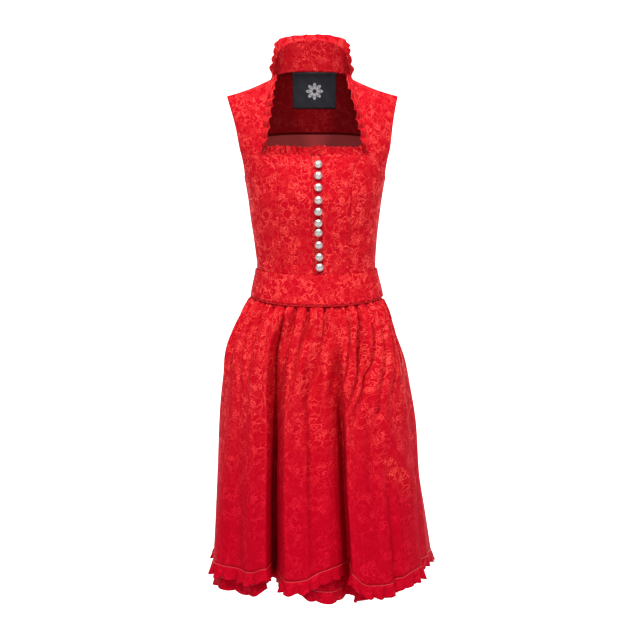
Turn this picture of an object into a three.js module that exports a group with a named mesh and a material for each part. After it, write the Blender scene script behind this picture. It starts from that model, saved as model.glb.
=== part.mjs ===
// A sleeveless dirndl in red jacquard, hollow and filled out as if it were worn.
// The front faces -Y, +X is to the right as seen from the front, and +Z is up.
// The origin lies midway between the two shoulder seams, at the height of the neck points.
// Sizes are millimetres. Angles round the body are degrees: 0 is the middle of the front,
// 90 the right side seam, 180 the middle of the back and -90 the left side seam.
import * as THREE from 'three';

const { lerp, clamp, degToRad, radToDeg, smoothstep } = THREE.MathUtils;

// Cloth and seams
const CLOTH = 1.4;
const DOUBLED_CLOTH = 2.2;
const FACING = 1;
const SEAM = 0.4;
const SEAM_ANGLE = radToDeg(SEAM / 2 / 120);
const SQUARENESS = 2.3;

// Bodice heights
const BODICE_HEM = -440;
const CHEST = -152;
const BACK_SEAM_TOP = -163;
const bodiceLevels = [
  -440, -403, -374, -345, -320, -295, -272, -250, -228, -207, -202, -193, -183, -173, BACK_SEAM_TOP, CHEST,
];
const shoulderSteps = [0.135, 0.235, 0.36, 0.55, 0.78, 1];
const FACING_START = 0.235;
const levelsDown = [...bodiceLevels].reverse();
const stepsDown = [...shoulderSteps].reverse();

// Body rings of the bodice, from below the waist up to the chest
const torsoRings = [
  { z: -500, halfWidth: 146, front: 112, back: 106, centre: 5 },
  { z: -459, halfWidth: 139, front: 105, back: 100, centre: 4 },
  { z: -405, halfWidth: 130, front: 99, back: 94, centre: 3 },
  { z: -345, halfWidth: 134, front: 106, back: 97, centre: 1 },
  { z: -297, halfWidth: 140, front: 116, back: 101, centre: 0 },
  { z: -250, halfWidth: 146, front: 124, back: 105, centre: 0 },
  { z: -205, halfWidth: 154, front: 120, back: 109, centre: 0 },
  { z: -150, halfWidth: 169, front: 108, back: 111, centre: 0 },
];

// How far each seam of the bodice lies from the middle of the front or back
const frontSeam = [
  { z: -440, reach: 70 },
  { z: -345, reach: 74.5 },
  { z: -250, reach: 78.5 },
  { z: -205, reach: 79.5 },
  { z: -193, reach: 81.5 },
  { z: -183, reach: 85 },
  { z: -172, reach: 91 },
  { z: -161, reach: 101.5 },
  { z: CHEST, reach: 113 },
];
const backSeam = [
  { z: -440, reach: 46 },
  { z: -345, reach: 50 },
  { z: -250, reach: 66 },
  { z: -207, reach: 84 },
  { z: -193, reach: 98 },
  { z: -183, reach: 112 },
  { z: -173, reach: 131 },
  { z: BACK_SEAM_TOP, reach: 157 },
];

// The armhole's lower half: its front edge as an angle round the body
const armhole = [
  { z: -207, angle: 90 },
  { z: -202, angle: 80.5 },
  { z: -193, angle: 76 },
  { z: -183, angle: 73.5 },
  { z: -173, angle: 72.2 },
  { z: -163, angle: 71.4 },
  { z: CHEST, angle: 71 },
];

// Shoulders, neck seam and the top edge of the standing collar, for the right side
const NECK_POINT = new THREE.Vector3(88, -2, 7);
const SHOULDER_TIP = new THREE.Vector3(186, 6, -29);
const SHOULDER_SAG = 3.5;
const NECK_SHARE = 0.6;
const backShares = [1, 0.8, 0.6, 0.45, 0.3, 0.15, 0, -0.15, -0.3, -0.45, -0.6, -0.8, -1];
const collarTurns = [1, 0.965, 0.93, 0.89, 0.84, 0.77, 0.7, 0.6, 0.48, 0.34, 0.17, 0];
const LEAN = -7;
const neckSeam = [
  { turn: 0, x: 0, y: 72, z: 31 },
  { turn: 0.35, x: 45, y: 66, z: 29 },
  { turn: 0.7, x: 78, y: 40, z: 20 },
  { turn: 1, x: NECK_POINT.x, y: NECK_POINT.y, z: NECK_POINT.z },
];
const collarEdge = [
  { turn: 0, x: 0, y: 86, z: 99 },
  { turn: 0.25, x: 33, y: 82, z: 97 },
  { turn: 0.5, x: 60, y: 66, z: 86 },
  { turn: 0.7, x: 75, y: 44, z: 70 },
  { turn: 0.84, x: 80, y: 25, z: 52 },
  { turn: 0.93, x: 83.5, y: 9, z: 33 },
  { turn: 1, x: 87, y: -4, z: 10 },
];

// Front closing with its buttons
const LEFT_FRONT_EDGE = -7;
const RIGHT_FRONT_EDGE = 14;
const STAND_EDGES = [-14, 21];
const BUTTON_X = 7.4;
const BUTTON_RADIUS = 8.4;
const buttonHeights = [-180, -203.5, -228, -254, -278, -302, -322, -348.5, -374, -396.5];

// Apron band and the piping below it
const bandTop = { side: -403, frontDip: 10 };
const bandBottom = { side: -459, frontDip: 17 };
const BAND_OUTSET = { top: 3.6, bottom: 6.4 };
const PIPING_RADIUS = 1.6;

// Skirt and apron
const SKIRT_LENGTH_TO = -1066;
const SIDE_SEAM = 98;
const frontColumns = 52;
const backColumns = 44;
const apronColumns = { from: 1, to: 47 };
const apronHemEdge = { left: -95, right: 62 };
const apronHem = [
  { angle: -98, z: -1030 },
  { angle: -60, z: -1028 },
  { angle: -45, z: -1031 },
  { angle: -34, z: -1030 },
  { angle: -25, z: -1019 },
  { angle: -16, z: -1040 },
  { angle: -6, z: -1037 },
  { angle: 3, z: -1017 },
  { angle: 11, z: -1019 },
  { angle: 18, z: -1047 },
  { angle: 25, z: -1053 },
  { angle: 34, z: -1053 },
  { angle: 42, z: -1046 },
  { angle: 50, z: -1039 },
  { angle: 62, z: -1036 },
  { angle: 98, z: -1030 },
];
const skirtHem = [
  { angle: -98, z: -1056 },
  { angle: -75, z: -1057 },
  { angle: -58, z: -1057 },
  { angle: -42, z: -1060 },
  { angle: -33, z: -1056 },
  { angle: -25, z: -1040 },
  { angle: -15, z: -1044 },
  { angle: -8, z: -1046 },
  { angle: 0, z: -1066 },
  { angle: 10, z: -1067 },
  { angle: 17, z: -1058 },
  { angle: 25, z: -1057 },
  { angle: 34, z: -1057 },
  { angle: 42, z: -1050 },
  { angle: 60, z: -1042 },
  { angle: 80, z: -1040 },
  { angle: 98, z: -1044 },
  { angle: 130, z: -1058 },
  { angle: 262, z: -1056 },
];
const skirtFalls = [0, 0.02, 0.055, 0.105, 0.17, 0.27, 0.42, 0.62, 0.82, 1];
const SKIRT_TUCK = 1;
const OPEN_INSET = 3.4;
const skirtRings = [
  { fall: -0.05, halfWidth: 140, front: 108, back: 102, sway: 4 },
  { fall: 0, halfWidth: 143, front: 111, back: 104.5, sway: 4 },
  { fall: 0.057, halfWidth: 160, front: 132, back: 126, sway: 3 },
  { fall: 0.113, halfWidth: 177, front: 148, back: 140, sway: 1 },
  { fall: 0.169, halfWidth: 191.5, front: 160, back: 152, sway: -1 },
  { fall: 0.226, halfWidth: 202, front: 170, back: 161, sway: 0 },
  { fall: 0.312, halfWidth: 210, front: 182, back: 172, sway: 1.5 },
  { fall: 0.456, halfWidth: 220.5, front: 196, back: 184, sway: 5.5 },
  { fall: 0.649, halfWidth: 227, front: 212, back: 198, sway: 7 },
  { fall: 0.819, halfWidth: 235, front: 224, back: 210, sway: 11 },
  { fall: 1, halfWidth: 243, front: 233, back: 219, sway: 14.5 },
];

// Large folds: the angle of the deepest line, the widths to both sides in degrees, how far each hangs
// inwards at the hip, midway and at the hem, and how far it veers to the right for each millimetre inwards.
const FOLD_ROUNDNESS = 1.4;
const FOLD_SPREAD = 2.5;
const folds = [
  { name: 'left side', angle: -84, left: 12, right: 11, hip: 8, mid: 12, hem: 16, veer: 0 },
  { name: 'left lobe', angle: -62, left: 14, right: 12, hip: 0, mid: 0, hem: -14, veer: 0 },
  { name: 'left block', angle: -46, left: 8, right: 8, hip: 7, mid: 6, hem: 10, veer: 0 },
  { name: 'left deep', angle: -22, left: 3.6, right: 7, hip: 28, mid: 64, hem: 86, veer: -0.45 },
  { name: 'centre', angle: -2.4, left: 2.2, right: 5, hip: 18, mid: 20, hem: 6, veer: -0.1 },
  { name: 'centre right', angle: 9.6, left: 13, right: 3.4, hip: 14, mid: 42, hem: 62, veer: 0.3 },
  { name: 'right hip', angle: 28.5, left: 6, right: 4, hip: 20, mid: 9, hem: 0, veer: 0.1 },
  { name: 'right hem', angle: 39, left: 4, right: 4, hip: 0, mid: 0, hem: 12, veer: 0 },
  { name: 'right side', angle: 76, left: 13, right: 12, hip: 6, mid: 12, hem: 20, veer: 0 },
  { name: 'right back lobe', angle: 108, left: 17, right: 15, hip: 0, mid: 0, hem: -22, veer: 0 },
  { name: 'back one', angle: 130, left: 9, right: 8, hip: 14, mid: 38, hem: 60, veer: 0 },
  { name: 'back two', angle: 154, left: 8, right: 9, hip: 10, mid: 30, hem: 44, veer: 0 },
  { name: 'back three', angle: 179, left: 9, right: 8, hip: 16, mid: 44, hem: 68, veer: 0 },
  { name: 'back four', angle: 205, left: 8, right: 9, hip: 10, mid: 28, hem: 46, veer: 0 },
  { name: 'back five', angle: 230, left: 9, right: 8, hip: 14, mid: 38, hem: 58, veer: 0 },
  { name: 'back six', angle: 253, left: 7, right: 7, hip: 8, mid: 16, hem: 26, veer: 0 },
];
const foldHeights = { open: 0.02, hip: 0.14, mid: 0.42, hem: 1 };

// Depth of the gathers under the band
const gatherSizes = [
  { fall: 0, depth: 1.2 },
  { fall: 0.02, depth: 2.8 },
  { fall: 0.07, depth: 5 },
  { fall: 0.17, depth: 3.6 },
  { fall: 0.34, depth: 0 },
];
// How far the skirt lies inside the apron
const underApron = [
  { fall: 0, gap: 2.4 },
  { fall: 0.2, gap: 4 },
  { fall: 1, gap: 8 },
];

// Ruffles
const outerRuffle = { height: 25, flare: 7, wave: 4.5 };
const innerRuffle = { height: 23, flare: 2.5, wave: 3.5 };
const neckRuffle = { height: 15, flare: 3, wave: 3.4 };
const waves = { frontNeck: 6, collar: 32 };
const columnsPerWave = { hem: 4, neck: 3 };
const ruffleParts = { apron: 3, skirtFront: 2, skirtBack: 3 };
const RUFFLE_START = 0.03;

// Label inside the back
const label = { left: -50, right: 47, bottom: -50, top: 28, cloth: 0.8 };

// Colours
const red = new THREE.MeshStandardMaterial({ color: 0xc40f1c, roughness: 0.62, side: THREE.DoubleSide });
const silver = new THREE.MeshStandardMaterial({ color: 0xb9bab4, roughness: 0.35, metalness: 0.9 });
const black = new THREE.MeshStandardMaterial({ color: 0x14161a, roughness: 0.5 });

// Reads one column of a size table with a smooth curve through its rows.
function sizeAt(table, at, column, key = 'z') {
  const last = table.length - 1;
  if (at <= table[0][key]) return table[0][column];
  if (at >= table[last][key]) return table[last][column];
  const i = table.findIndex((row) => row[key] > at) - 1;
  const slope = (j) => {
    const before = table[Math.max(j - 1, 0)];
    const after = table[Math.min(j + 1, last)];
    return (after[column] - before[column]) / (after[key] - before[key]);
  };
  const span = table[i + 1][key] - table[i][key];
  const t = (at - table[i][key]) / span;
  const ease = t * t * (3 - 2 * t);
  const bend = t * (1 - t) * ((1 - t) * slope(i) - t * slope(i + 1)) * span;
  return lerp(table[i][column], table[i + 1][column], ease) + bend;
}

// A point of a rounded body ring at an angle.
function ringPoint(angle, ring, z) {
  const across = Math.sin(degToRad(angle));
  const along = Math.cos(degToRad(angle));
  const depth = along > 0 ? ring.front : ring.back;
  const rounded = (value) => Math.sign(value) * Math.abs(value) ** (2 / SQUARENESS);
  return new THREE.Vector3(ring.centre + ring.halfWidth * rounded(across), -depth * rounded(along), z);
}

function bodyPoint(angle, z, outset) {
  const ring = {
    halfWidth: sizeAt(torsoRings, z, 'halfWidth') + outset,
    front: sizeAt(torsoRings, z, 'front') + outset,
    back: sizeAt(torsoRings, z, 'back') + outset,
    centre: sizeAt(torsoRings, z, 'centre'),
  };
  return ringPoint(angle, ring, z);
}

// A point of the bodice's surface. It carries its outward direction, so that pieces match at their seams,
// and how far it moves for each millimetre upwards, so that the shoulders go on from it smoothly.
function torsoPoint(angle, z, outset = 0) {
  const point = bodyPoint(angle, z, outset);
  point.rise = bodyPoint(angle, z, outset).sub(bodyPoint(angle, z - 6, outset)).divideScalar(6);
  const along = bodyPoint(angle + 1, z, outset).sub(bodyPoint(angle - 1, z, outset));
  const up = bodyPoint(angle, z + 4, outset).sub(bodyPoint(angle, z - 4, outset));
  point.out = along.cross(up).normalize();
  return point;
}

// The angle at which the body ring lies the given distance to the side of its middle.
function angleOfReach(reach, z) {
  const share = Math.abs(reach) / sizeAt(torsoRings, z, 'halfWidth');
  return radToDeg(Math.asin(Math.min(share, 1) ** (SQUARENESS / 2))) * Math.sign(reach);
}

const armholeAngle = (z) => (z <= armhole[0].z ? 90 : sizeAt(armhole, z, 'angle'));
const leanAt = (z) => LEAN * smoothstep(z, CHEST, NECK_POINT.z + 10);

// The outward direction at each point of a surface. A point on a shoulder seam stays in the seam's plane.
function outwardOf(points, triangles) {
  const normals = points.map(() => new THREE.Vector3());
  for (const [a, b, c] of triangles) {
    const face = points[b].clone().sub(points[a]).cross(points[c].clone().sub(points[a]));
    [a, b, c].forEach((i) => normals[i].add(face));
  }
  return points.map((point, i) => {
    if (point.out) return point.out;
    if (point.onShoulderSeam) normals[i].y = 0;
    return normals[i].normalize();
  });
}

// Turns an open surface into a cloth wall: the surface is its outside and the inside is offset by the wall.
function thicken(points, triangles, wall) {
  const outward = outwardOf(points, triangles);
  const inside = points.map((p, i) => p.clone().addScaledVector(outward[i], -wall));
  const count = points.length;
  const faces = [...triangles, ...triangles.map(([a, b, c]) => [a + count, c + count, b + count])];
  const edges = new Set();
  for (const [a, b, c] of triangles) [[a, b], [b, c], [c, a]].forEach((e) => edges.add(e.join()));
  for (const edge of edges) {
    const [a, b] = edge.split(',').map(Number);
    if (!edges.has([b, a].join())) faces.push([b, a, a + count], [b, a + count, b + count]);
  }
  const geometry = new THREE.BufferGeometry();
  const positions = [...points, ...inside].flatMap((p) => [p.x, p.y, p.z]);
  geometry.setAttribute('position', new THREE.Float32BufferAttribute(positions, 3));
  geometry.setIndex(faces.flat());
  geometry.computeVertexNormals();
  return geometry;
}

// The triangles between rows of points, top row first, each row running towards larger angles.
function trianglesOf(rows) {
  const across = rows[0].length;
  const triangles = [];
  for (let i = 0; i + 1 < rows.length; i++) {
    for (let j = 0; j + 1 < across; j++) {
      const [a, b] = [i * across + j, (i + 1) * across + j];
      triangles.push([a, b, b + 1], [a, b + 1, a + 1]);
    }
  }
  return triangles;
}

const clothFromRows = (rows, wall) => thicken(rows.flat(), trianglesOf(rows), wall);

// The same rows moved inwards by the distance given for row i and column j.
function moveInwards(rows, distanceAt) {
  const outward = outwardOf(rows.flat(), trianglesOf(rows));
  return rows.map((row, i) => row.map((point, j) => {
    const moved = point.clone().addScaledVector(outward[i * row.length + j], -distanceAt(i, j));
    moved.out = point.out;
    return moved;
  }));
}

const steps = (count) => Array.from({ length: count + 1 }, (_, i) => i / count);

function piece(name, geometry, material = red) {
  const mesh = new THREE.Mesh(geometry, material);
  mesh.name = name;
  return mesh;
}

// Bodice

// From a point of the chest or back over to a point of the shoulder or neck, t from 0 to 1.
// Above the chest everything leans a little, as the shoulders do.
function overShoulder(start, end, t) {
  const lift = Math.sin((t * Math.PI) / 2);
  const rest = Math.cos((t * Math.PI) / 2) ** 1.4;
  const z = lerp(start.z, end.z, lift);
  const climb = z - start.z;
  const x = lerp(start.x, end.x, lift ** 1.3) + leanAt(z) + start.rise.x * climb * (1 - lift) ** 5;
  const y = lerp(end.y, start.y, rest) + start.rise.y * climb * (1 - lift) ** 2;
  return new THREE.Vector3(x, y, z);
}

// The shoulder seam from the neck point, share 0, to the tip, share 1, set off by half the seam's gap.
function shoulderPoint(share, side, gap) {
  const point = NECK_POINT.clone().lerp(SHOULDER_TIP, share);
  return new THREE.Vector3(point.x * side, point.y + gap, point.z - SHOULDER_SAG * 4 * share * (1 - share));
}

function neckSeamPoint(turn) {
  const at = (column) => sizeAt(neckSeam, Math.abs(turn), column, 'turn');
  return new THREE.Vector3(at('x') * Math.sign(turn), at('y'), at('z'));
}

const alongRow = (row, side) => (side < 0 ? row.reverse() : row);

function centreFront(side, innerEdge) {
  const rows = levelsDown.map((z) => {
    const level = z === CHEST ? z - SEAM : z;
    const inner = angleOfReach(innerEdge, level) * side;
    const outer = angleOfReach(sizeAt(frontSeam, level, 'reach'), level) - SEAM_ANGLE;
    return alongRow(steps(5).map((s) => torsoPoint(lerp(inner, outer, s) * side, level)), side);
  });
  return clothFromRows(rows, CLOTH);
}

function sideFrontPoint(s, z, side) {
  const inner = angleOfReach(sizeAt(frontSeam, z, 'reach'), z) + SEAM_ANGLE;
  const outer = armholeAngle(z) - (z <= armhole[0].z ? SEAM_ANGLE : 0);
  return torsoPoint(lerp(inner, outer, s) * side, z);
}

// The front strap runs from the chest to just before the shoulder seam.
function frontStrapPoint(s, t, side) {
  const point = overShoulder(sideFrontPoint(s, CHEST, side), shoulderPoint(s, side, -SEAM / 2), t);
  point.onShoulderSeam = t === 1;
  return point;
}

function sideFront(side) {
  const strap = stepsDown.map((t) => alongRow(steps(7).map((s) => frontStrapPoint(s, t, side)), side));
  const body = levelsDown.map((z) => alongRow(steps(7).map((s) => sideFrontPoint(s, z, side)), side));
  return clothFromRows([...strap, ...body], CLOTH);
}

// The middle of the back: share runs from -1 at the left edge to 1 at the right edge.
function backPoint(share, z) {
  const seamAngle = angleOfReach(sizeAt(backSeam, z, 'reach'), z) - SEAM_ANGLE;
  const edge = z > BACK_SEAM_TOP ? armholeAngle(z) : seamAngle;
  return torsoPoint(180 - share * edge, z);
}

function backTop(share) {
  const across = Math.abs(share);
  const side = share < 0 ? -1 : 1;
  if (across >= NECK_SHARE) return shoulderPoint((across - NECK_SHARE) / (1 - NECK_SHARE), side, SEAM / 2);
  return neckSeamPoint(share / NECK_SHARE).add(new THREE.Vector3(0, SEAM / 2, 0));
}

function backYokePoint(share, t) {
  const point = overShoulder(backPoint(share, CHEST), backTop(share), t);
  point.onShoulderSeam = t === 1 && Math.abs(share) >= NECK_SHARE;
  return point;
}

function backCentre() {
  const yoke = stepsDown.map((t) => backShares.map((share) => backYokePoint(share, t)));
  const body = levelsDown.map((z) => backShares.map((share) => backPoint(share, z)));
  return clothFromRows([...yoke, ...body], CLOTH);
}

function backSide(side) {
  const rows = levelsDown.filter((z) => z <= BACK_SEAM_TOP).map((z) => {
    const seamSide = 180 - angleOfReach(sizeAt(backSeam, z, 'reach'), z) + SEAM_ANGLE;
    const sideSeam = z <= armhole[0].z ? 90 + SEAM_ANGLE : 180 - armholeAngle(z);
    const level = z === BACK_SEAM_TOP ? z - SEAM : z;
    const angles = steps(4).map((s) => lerp(sideSeam, seamSide - 2 * SEAM_ANGLE, s) * side);
    return alongRow(angles.map((angle) => torsoPoint(angle, level)), side);
  });
  return clothFromRows(rows, CLOTH);
}

// Collar, facing and label

function collarEdgePoint(turn) {
  const at = (column) => sizeAt(collarEdge, Math.abs(turn), column, 'turn');
  return new THREE.Vector3(at('x') * Math.sign(turn), at('y'), at('z'));
}

function collarPoint(turn, height) {
  const foot = neckSeamPoint(turn).add(new THREE.Vector3(0, 0, SEAM));
  const point = foot.lerp(collarEdgePoint(turn), height);
  point.x += leanAt(point.z);
  return point;
}

// Columns run from the right end round the back to the left end.
function collar() {
  const turns = [...collarTurns, ...collarTurns.slice(0, -1).reverse().map((turn) => -turn)];
  const rows = [1, 0.66, 0.33, 0].map((height) => turns.map((turn) => collarPoint(turn, height)));
  return clothFromRows(rows, DOUBLED_CLOTH);
}

const facingRows = () => {
  const shares = backShares.filter((share) => Math.abs(share) <= NECK_SHARE);
  const heights = stepsDown.filter((t) => t >= FACING_START);
  return heights.map((t) => shares.map((share) => backYokePoint(share, t)));
};

// Jacquard facing inside the back yoke, from the neck seam down to its lower edge.
const backFacing = () => clothFromRows(moveInwards(facingRows(), () => CLOTH + SEAM), FACING);

// A point of rows of points, found by its x and z.
function onRows(rows, x, z) {
  const crossRow = (row) => {
    const j = clamp(row.findIndex((p) => p.x < x), 1, row.length - 1);
    return row[j - 1].clone().lerp(row[j], (row[j - 1].x - x) / (row[j - 1].x - row[j].x));
  };
  const line = rows.map(crossRow);
  const i = clamp(line.findIndex((p) => p.z < z), 1, line.length - 1);
  return line[i - 1].clone().lerp(line[i], (line[i - 1].z - z) / (line[i - 1].z - line[i].z));
}

function wovenLabel() {
  const inset = CLOTH + FACING + 3 * SEAM;
  const ground = moveInwards(facingRows(), () => inset);
  const rows = steps(4).map((v) => steps(6).map((u) =>
    onRows(ground, lerp(label.right, label.left, u), lerp(label.top, label.bottom, v))));
  return clothFromRows(rows, label.cloth);
}

// Closing

function buttonStand() {
  const inset = -(CLOTH + SEAM);
  const rows = levelsDown.filter((z) => z < CHEST - SEAM).map((z) => {
    const [left, right] = STAND_EDGES.map((edge) => angleOfReach(edge, z));
    return steps(3).map((s) => torsoPoint(lerp(left, right, s), z, inset));
  });
  return clothFromRows(rows, CLOTH);
}

// A domed button on a short shank, turned about its own axis.
const buttonProfile = [
  { radius: 0, height: 0 },
  { radius: 2, height: 0 },
  { radius: 2, height: 2.8 },
  { radius: BUTTON_RADIUS, height: 3.4 },
  { radius: BUTTON_RADIUS * 0.75, height: 7 },
  { radius: 0, height: 9.4 },
];

function button(name, z) {
  const outline = buttonProfile.map((p) => new THREE.Vector2(p.radius, p.height));
  const mesh = piece(name, new THREE.LatheGeometry(outline, 12), silver);
  const angle = angleOfReach(BUTTON_X, z);
  const inset = -(CLOTH + SEAM);
  const at = torsoPoint(angle, z, inset);
  const outward = at.out;
  mesh.position.copy(at).addScaledVector(outward, 1.5 * SEAM);
  mesh.quaternion.setFromUnitVectors(new THREE.Vector3(0, 1, 0), outward);
  return mesh;
}

// Apron band and piping

const dipAt = (edge, angle) => edge.side - edge.frontDip * Math.max(0, Math.cos(degToRad(angle))) ** 1.5;

function apronBand() {
  const angles = steps(48).map((s) => lerp(-180 + 2 * SEAM_ANGLE, 180 - 2 * SEAM_ANGLE, s));
  const rows = steps(2).map((v) => angles.map((angle) => {
    const z = lerp(dipAt(bandTop, angle), dipAt(bandBottom, angle), v);
    return torsoPoint(angle, z, lerp(BAND_OUTSET.top, BAND_OUTSET.bottom, v));
  }));
  return clothFromRows(rows, DOUBLED_CLOTH);
}

function bandPiping() {
  const [around, across] = [56, 5];
  const points = [];
  const triangles = [];
  for (let i = 0; i < around; i++) {
    const angle = (i / around) * 360;
    const z = dipAt(bandBottom, angle) - PIPING_RADIUS - SEAM;
    for (let j = 0; j < across; j++) {
      const turn = (j / across) * Math.PI * 2;
      const outset = BAND_OUTSET.bottom - 1.2 + PIPING_RADIUS * Math.cos(turn);
      const point = torsoPoint(angle, dipAt(bandBottom, angle), outset);
      points.push(point.setZ(z + PIPING_RADIUS * Math.sin(turn)));
      const [a, b] = [i * across + j, i * across + ((j + 1) % across)];
      const [c, d] = [((i + 1) % around) * across + ((j + 1) % across), ((i + 1) % around) * across + j];
      triangles.push([a, c, b], [a, d, c]);
    }
  }
  const geometry = new THREE.BufferGeometry();
  const positions = points.flatMap((p) => [p.x, p.y, p.z]);
  geometry.setAttribute('position', new THREE.Float32BufferAttribute(positions, 3));
  geometry.setIndex(triangles.flat());
  return geometry;
}

// Skirt and apron

const skirtTop = (angle) => dipAt(bandBottom, angle) - 2 * PIPING_RADIUS - 2 * SEAM;
const fallAt = (angle, z) => (skirtTop(angle) - z) / (skirtTop(angle) - SKIRT_LENGTH_TO);

function foldDepth(fold, fall) {
  const heights = [
    { fall: foldHeights.open, depth: 0 },
    { fall: foldHeights.hip, depth: fold.hip },
    { fall: foldHeights.mid, depth: fold.mid },
    { fall: foldHeights.hem, depth: fold.hem },
  ];
  return sizeAt(heights, fall, 'depth', 'fall');
}

// How far the folds pull the cloth inwards and aside at an angle. Near the waist they are wider.
function foldsAt(angle, fall) {
  const spread = FOLD_SPREAD * (1 - smoothstep(fall, 0.1, 0.45));
  const pull = { inwards: 0, aside: 0 };
  for (const fold of folds) {
    const away = ((angle - fold.angle + 540) % 360) - 180;
    const share = Math.abs(away) / (spread + (away < 0 ? fold.left : fold.right));
    if (share >= 1) continue;
    const depth = foldDepth(fold, fall) * Math.cos((share * Math.PI) / 2) ** FOLD_ROUNDNESS;
    pull.inwards += depth;
    pull.aside += depth * fold.veer;
  }
  return pull;
}

function hangingPoint(angle, z, inwards = 0) {
  const fall = fallAt(angle, z);
  const at = (column) => sizeAt(skirtRings, fall, column, 'fall');
  const ring = { halfWidth: at('halfWidth'), front: at('front'), back: at('back'), centre: 0 };
  const point = ringPoint(angle, ring, z);
  const pull = foldsAt(angle, fall);
  const out = new THREE.Vector3(point.x, point.y, 0).normalize();
  const aside = new THREE.Vector3(-out.y, out.x, 0);
  point.addScaledVector(out, -pull.inwards - inwards).addScaledVector(aside, pull.aside);
  return point.setX(point.x + at('sway'));
}

// The level direction that points out of the folded surface.
function levelOut(angle, z) {
  const across = hangingPoint(angle + 0.5, z).sub(hangingPoint(angle - 0.5, z));
  return new THREE.Vector3(across.y, -across.x, 0).normalize();
}

// The same for point j of a line of points.
function levelNormal(line, j) {
  const before = line[Math.max(j - 1, 0)];
  const after = line[Math.min(j + 1, line.length - 1)];
  return new THREE.Vector3(after.y - before.y, before.x - after.x, 0).normalize();
}

// Angles that share out a hem's length evenly between two edges.
function evenAngles(from, to, count, hemAt) {
  const fine = steps(720).map((s) => lerp(from, to, s));
  const hem = fine.map((angle) => hangingPoint(angle, hemAt(angle)));
  const lengths = [0];
  for (let i = 1; i < fine.length; i++) {
    lengths.push(lengths[i - 1] + Math.hypot(hem[i].x - hem[i - 1].x, hem[i].y - hem[i - 1].y));
  }
  return steps(count).map((s) => {
    const wanted = s * lengths[lengths.length - 1];
    const i = Math.max(1, lengths.findIndex((length) => length >= wanted - 1e-6));
    return lerp(fine[i - 1], fine[i], (wanted - lengths[i - 1]) / (lengths[i] - lengths[i - 1]));
  });
}

// Columns of the front half, from seam to seam. The apron covers those between its two edges.
const apronHemAt = (angle) => sizeAt(apronHem, angle, 'z', 'angle');
const skirtHemAt = (angle) => sizeAt(skirtHem, angle, 'z', 'angle');
const frontTop = steps(frontColumns).map((s) => lerp(-SIDE_SEAM, SIDE_SEAM, s));
const frontHem = [
  ...evenAngles(-SIDE_SEAM, apronHemEdge.left, apronColumns.from, apronHemAt).slice(0, -1),
  ...evenAngles(apronHemEdge.left, apronHemEdge.right, apronColumns.to - apronColumns.from, apronHemAt),
  ...evenAngles(apronHemEdge.right, SIDE_SEAM, frontColumns - apronColumns.to, apronHemAt).slice(1),
];
const backTopAngles = steps(backColumns).map((s) => lerp(SIDE_SEAM, 360 - SIDE_SEAM, s));
const backHem = evenAngles(SIDE_SEAM, 360 - SIDE_SEAM, backColumns, apronHemAt);
const isApron = (column) => column >= apronColumns.from && column <= apronColumns.to;

// Rows of a hanging panel. Where it is gathered, every second column is a crest and the others lie deeper.
function hangingRows(topAngles, hemAngles, isGathered) {
  return skirtFalls.map((fall) => topAngles.map((top, j) => {
    const angle = lerp(top, hemAngles[j], smoothstep(fall, 0.04, 0.5));
    const z = lerp(skirtTop(angle), apronHemAt(angle), fall);
    const depth = sizeAt(gatherSizes, fall, 'depth', 'fall');
    const point = hangingPoint(angle, z, isGathered(j) && j % 2 === 0 ? -depth : depth);
    if (j === 0 || j === topAngles.length - 1) point.out = levelOut(angle, z);
    return point;
  }));
}

function apronRows() {
  const rows = hangingRows(frontTop, frontHem, () => true);
  return rows.map((row) => row.filter((_, column) => isApron(column)));
}

// The skirt starts behind the band on the bodice's surface and runs on below the apron to its own hem.
function skirtRows(topAngles, hemAngles, isCovered) {
  const rows = hangingRows(topAngles, hemAngles, (column) => !isCovered(column));
  const gapAt = (i, j) => (isCovered(j) ? sizeAt(underApron, skirtFalls[i], 'gap', 'fall') : OPEN_INSET);
  const hanging = moveInwards(rows, gapAt);
  const tucked = topAngles.map((angle) => torsoPoint(angle, BODICE_HEM - SEAM, SKIRT_TUCK));
  const hem = hanging[hanging.length - 1].map((point, j) => {
    const hemPoint = hangingPoint(hemAngles[j], skirtHemAt(hemAngles[j]));
    const grown = hemPoint.sub(hangingPoint(hemAngles[j], point.z));
    const lowest = point.clone().add(grown);
    lowest.out = point.out;
    return lowest;
  });
  hem.forEach((point, j) => { point.out ??= levelNormal(hem, j); });
  return [tucked, ...hanging, hem];
}

const skirtFrontRows = () => betweenSeams(skirtRows(frontTop, frontHem, isApron));
const skirtBackRows = () => betweenSeams(skirtRows(backTopAngles, backHem, () => false));

// Leaves the side seams open by the seam's gap.
function betweenSeams(rows) {
  const nudge = (point, towards) => {
    const moved = point.clone().add(towards.clone().sub(point).setLength(0.75 * SEAM));
    moved.out = point.out;
    return moved;
  };
  return rows.map((row) => {
    const last = row.length - 1;
    return [nudge(row[0], row[1]), ...row.slice(1, -1), nudge(row[last], row[last - 1])];
  });
}

// A line of points with each of its stretches divided evenly.
function divided(line, parts) {
  const between = (point, next) => steps(parts).slice(0, -1).map((s) => point.clone().lerp(next, s));
  const last = line.length - 1;
  return [...line.slice(0, -1).flatMap((point, i) => between(point, line[i + 1])), line[last].clone()];
}

// How far a point of the hem lies inside the lowest ring, as a share of the ring's size.
function shareInside(point) {
  const ring = skirtRings[skirtRings.length - 1];
  const across = Math.abs(point.x - ring.sway) / ring.halfWidth;
  const along = Math.abs(point.y) / (point.y < 0 ? ring.front : ring.back);
  return 1 - (across ** SQUARENESS + along ** SQUARENESS) ** (1 / SQUARENESS);
}

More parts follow.
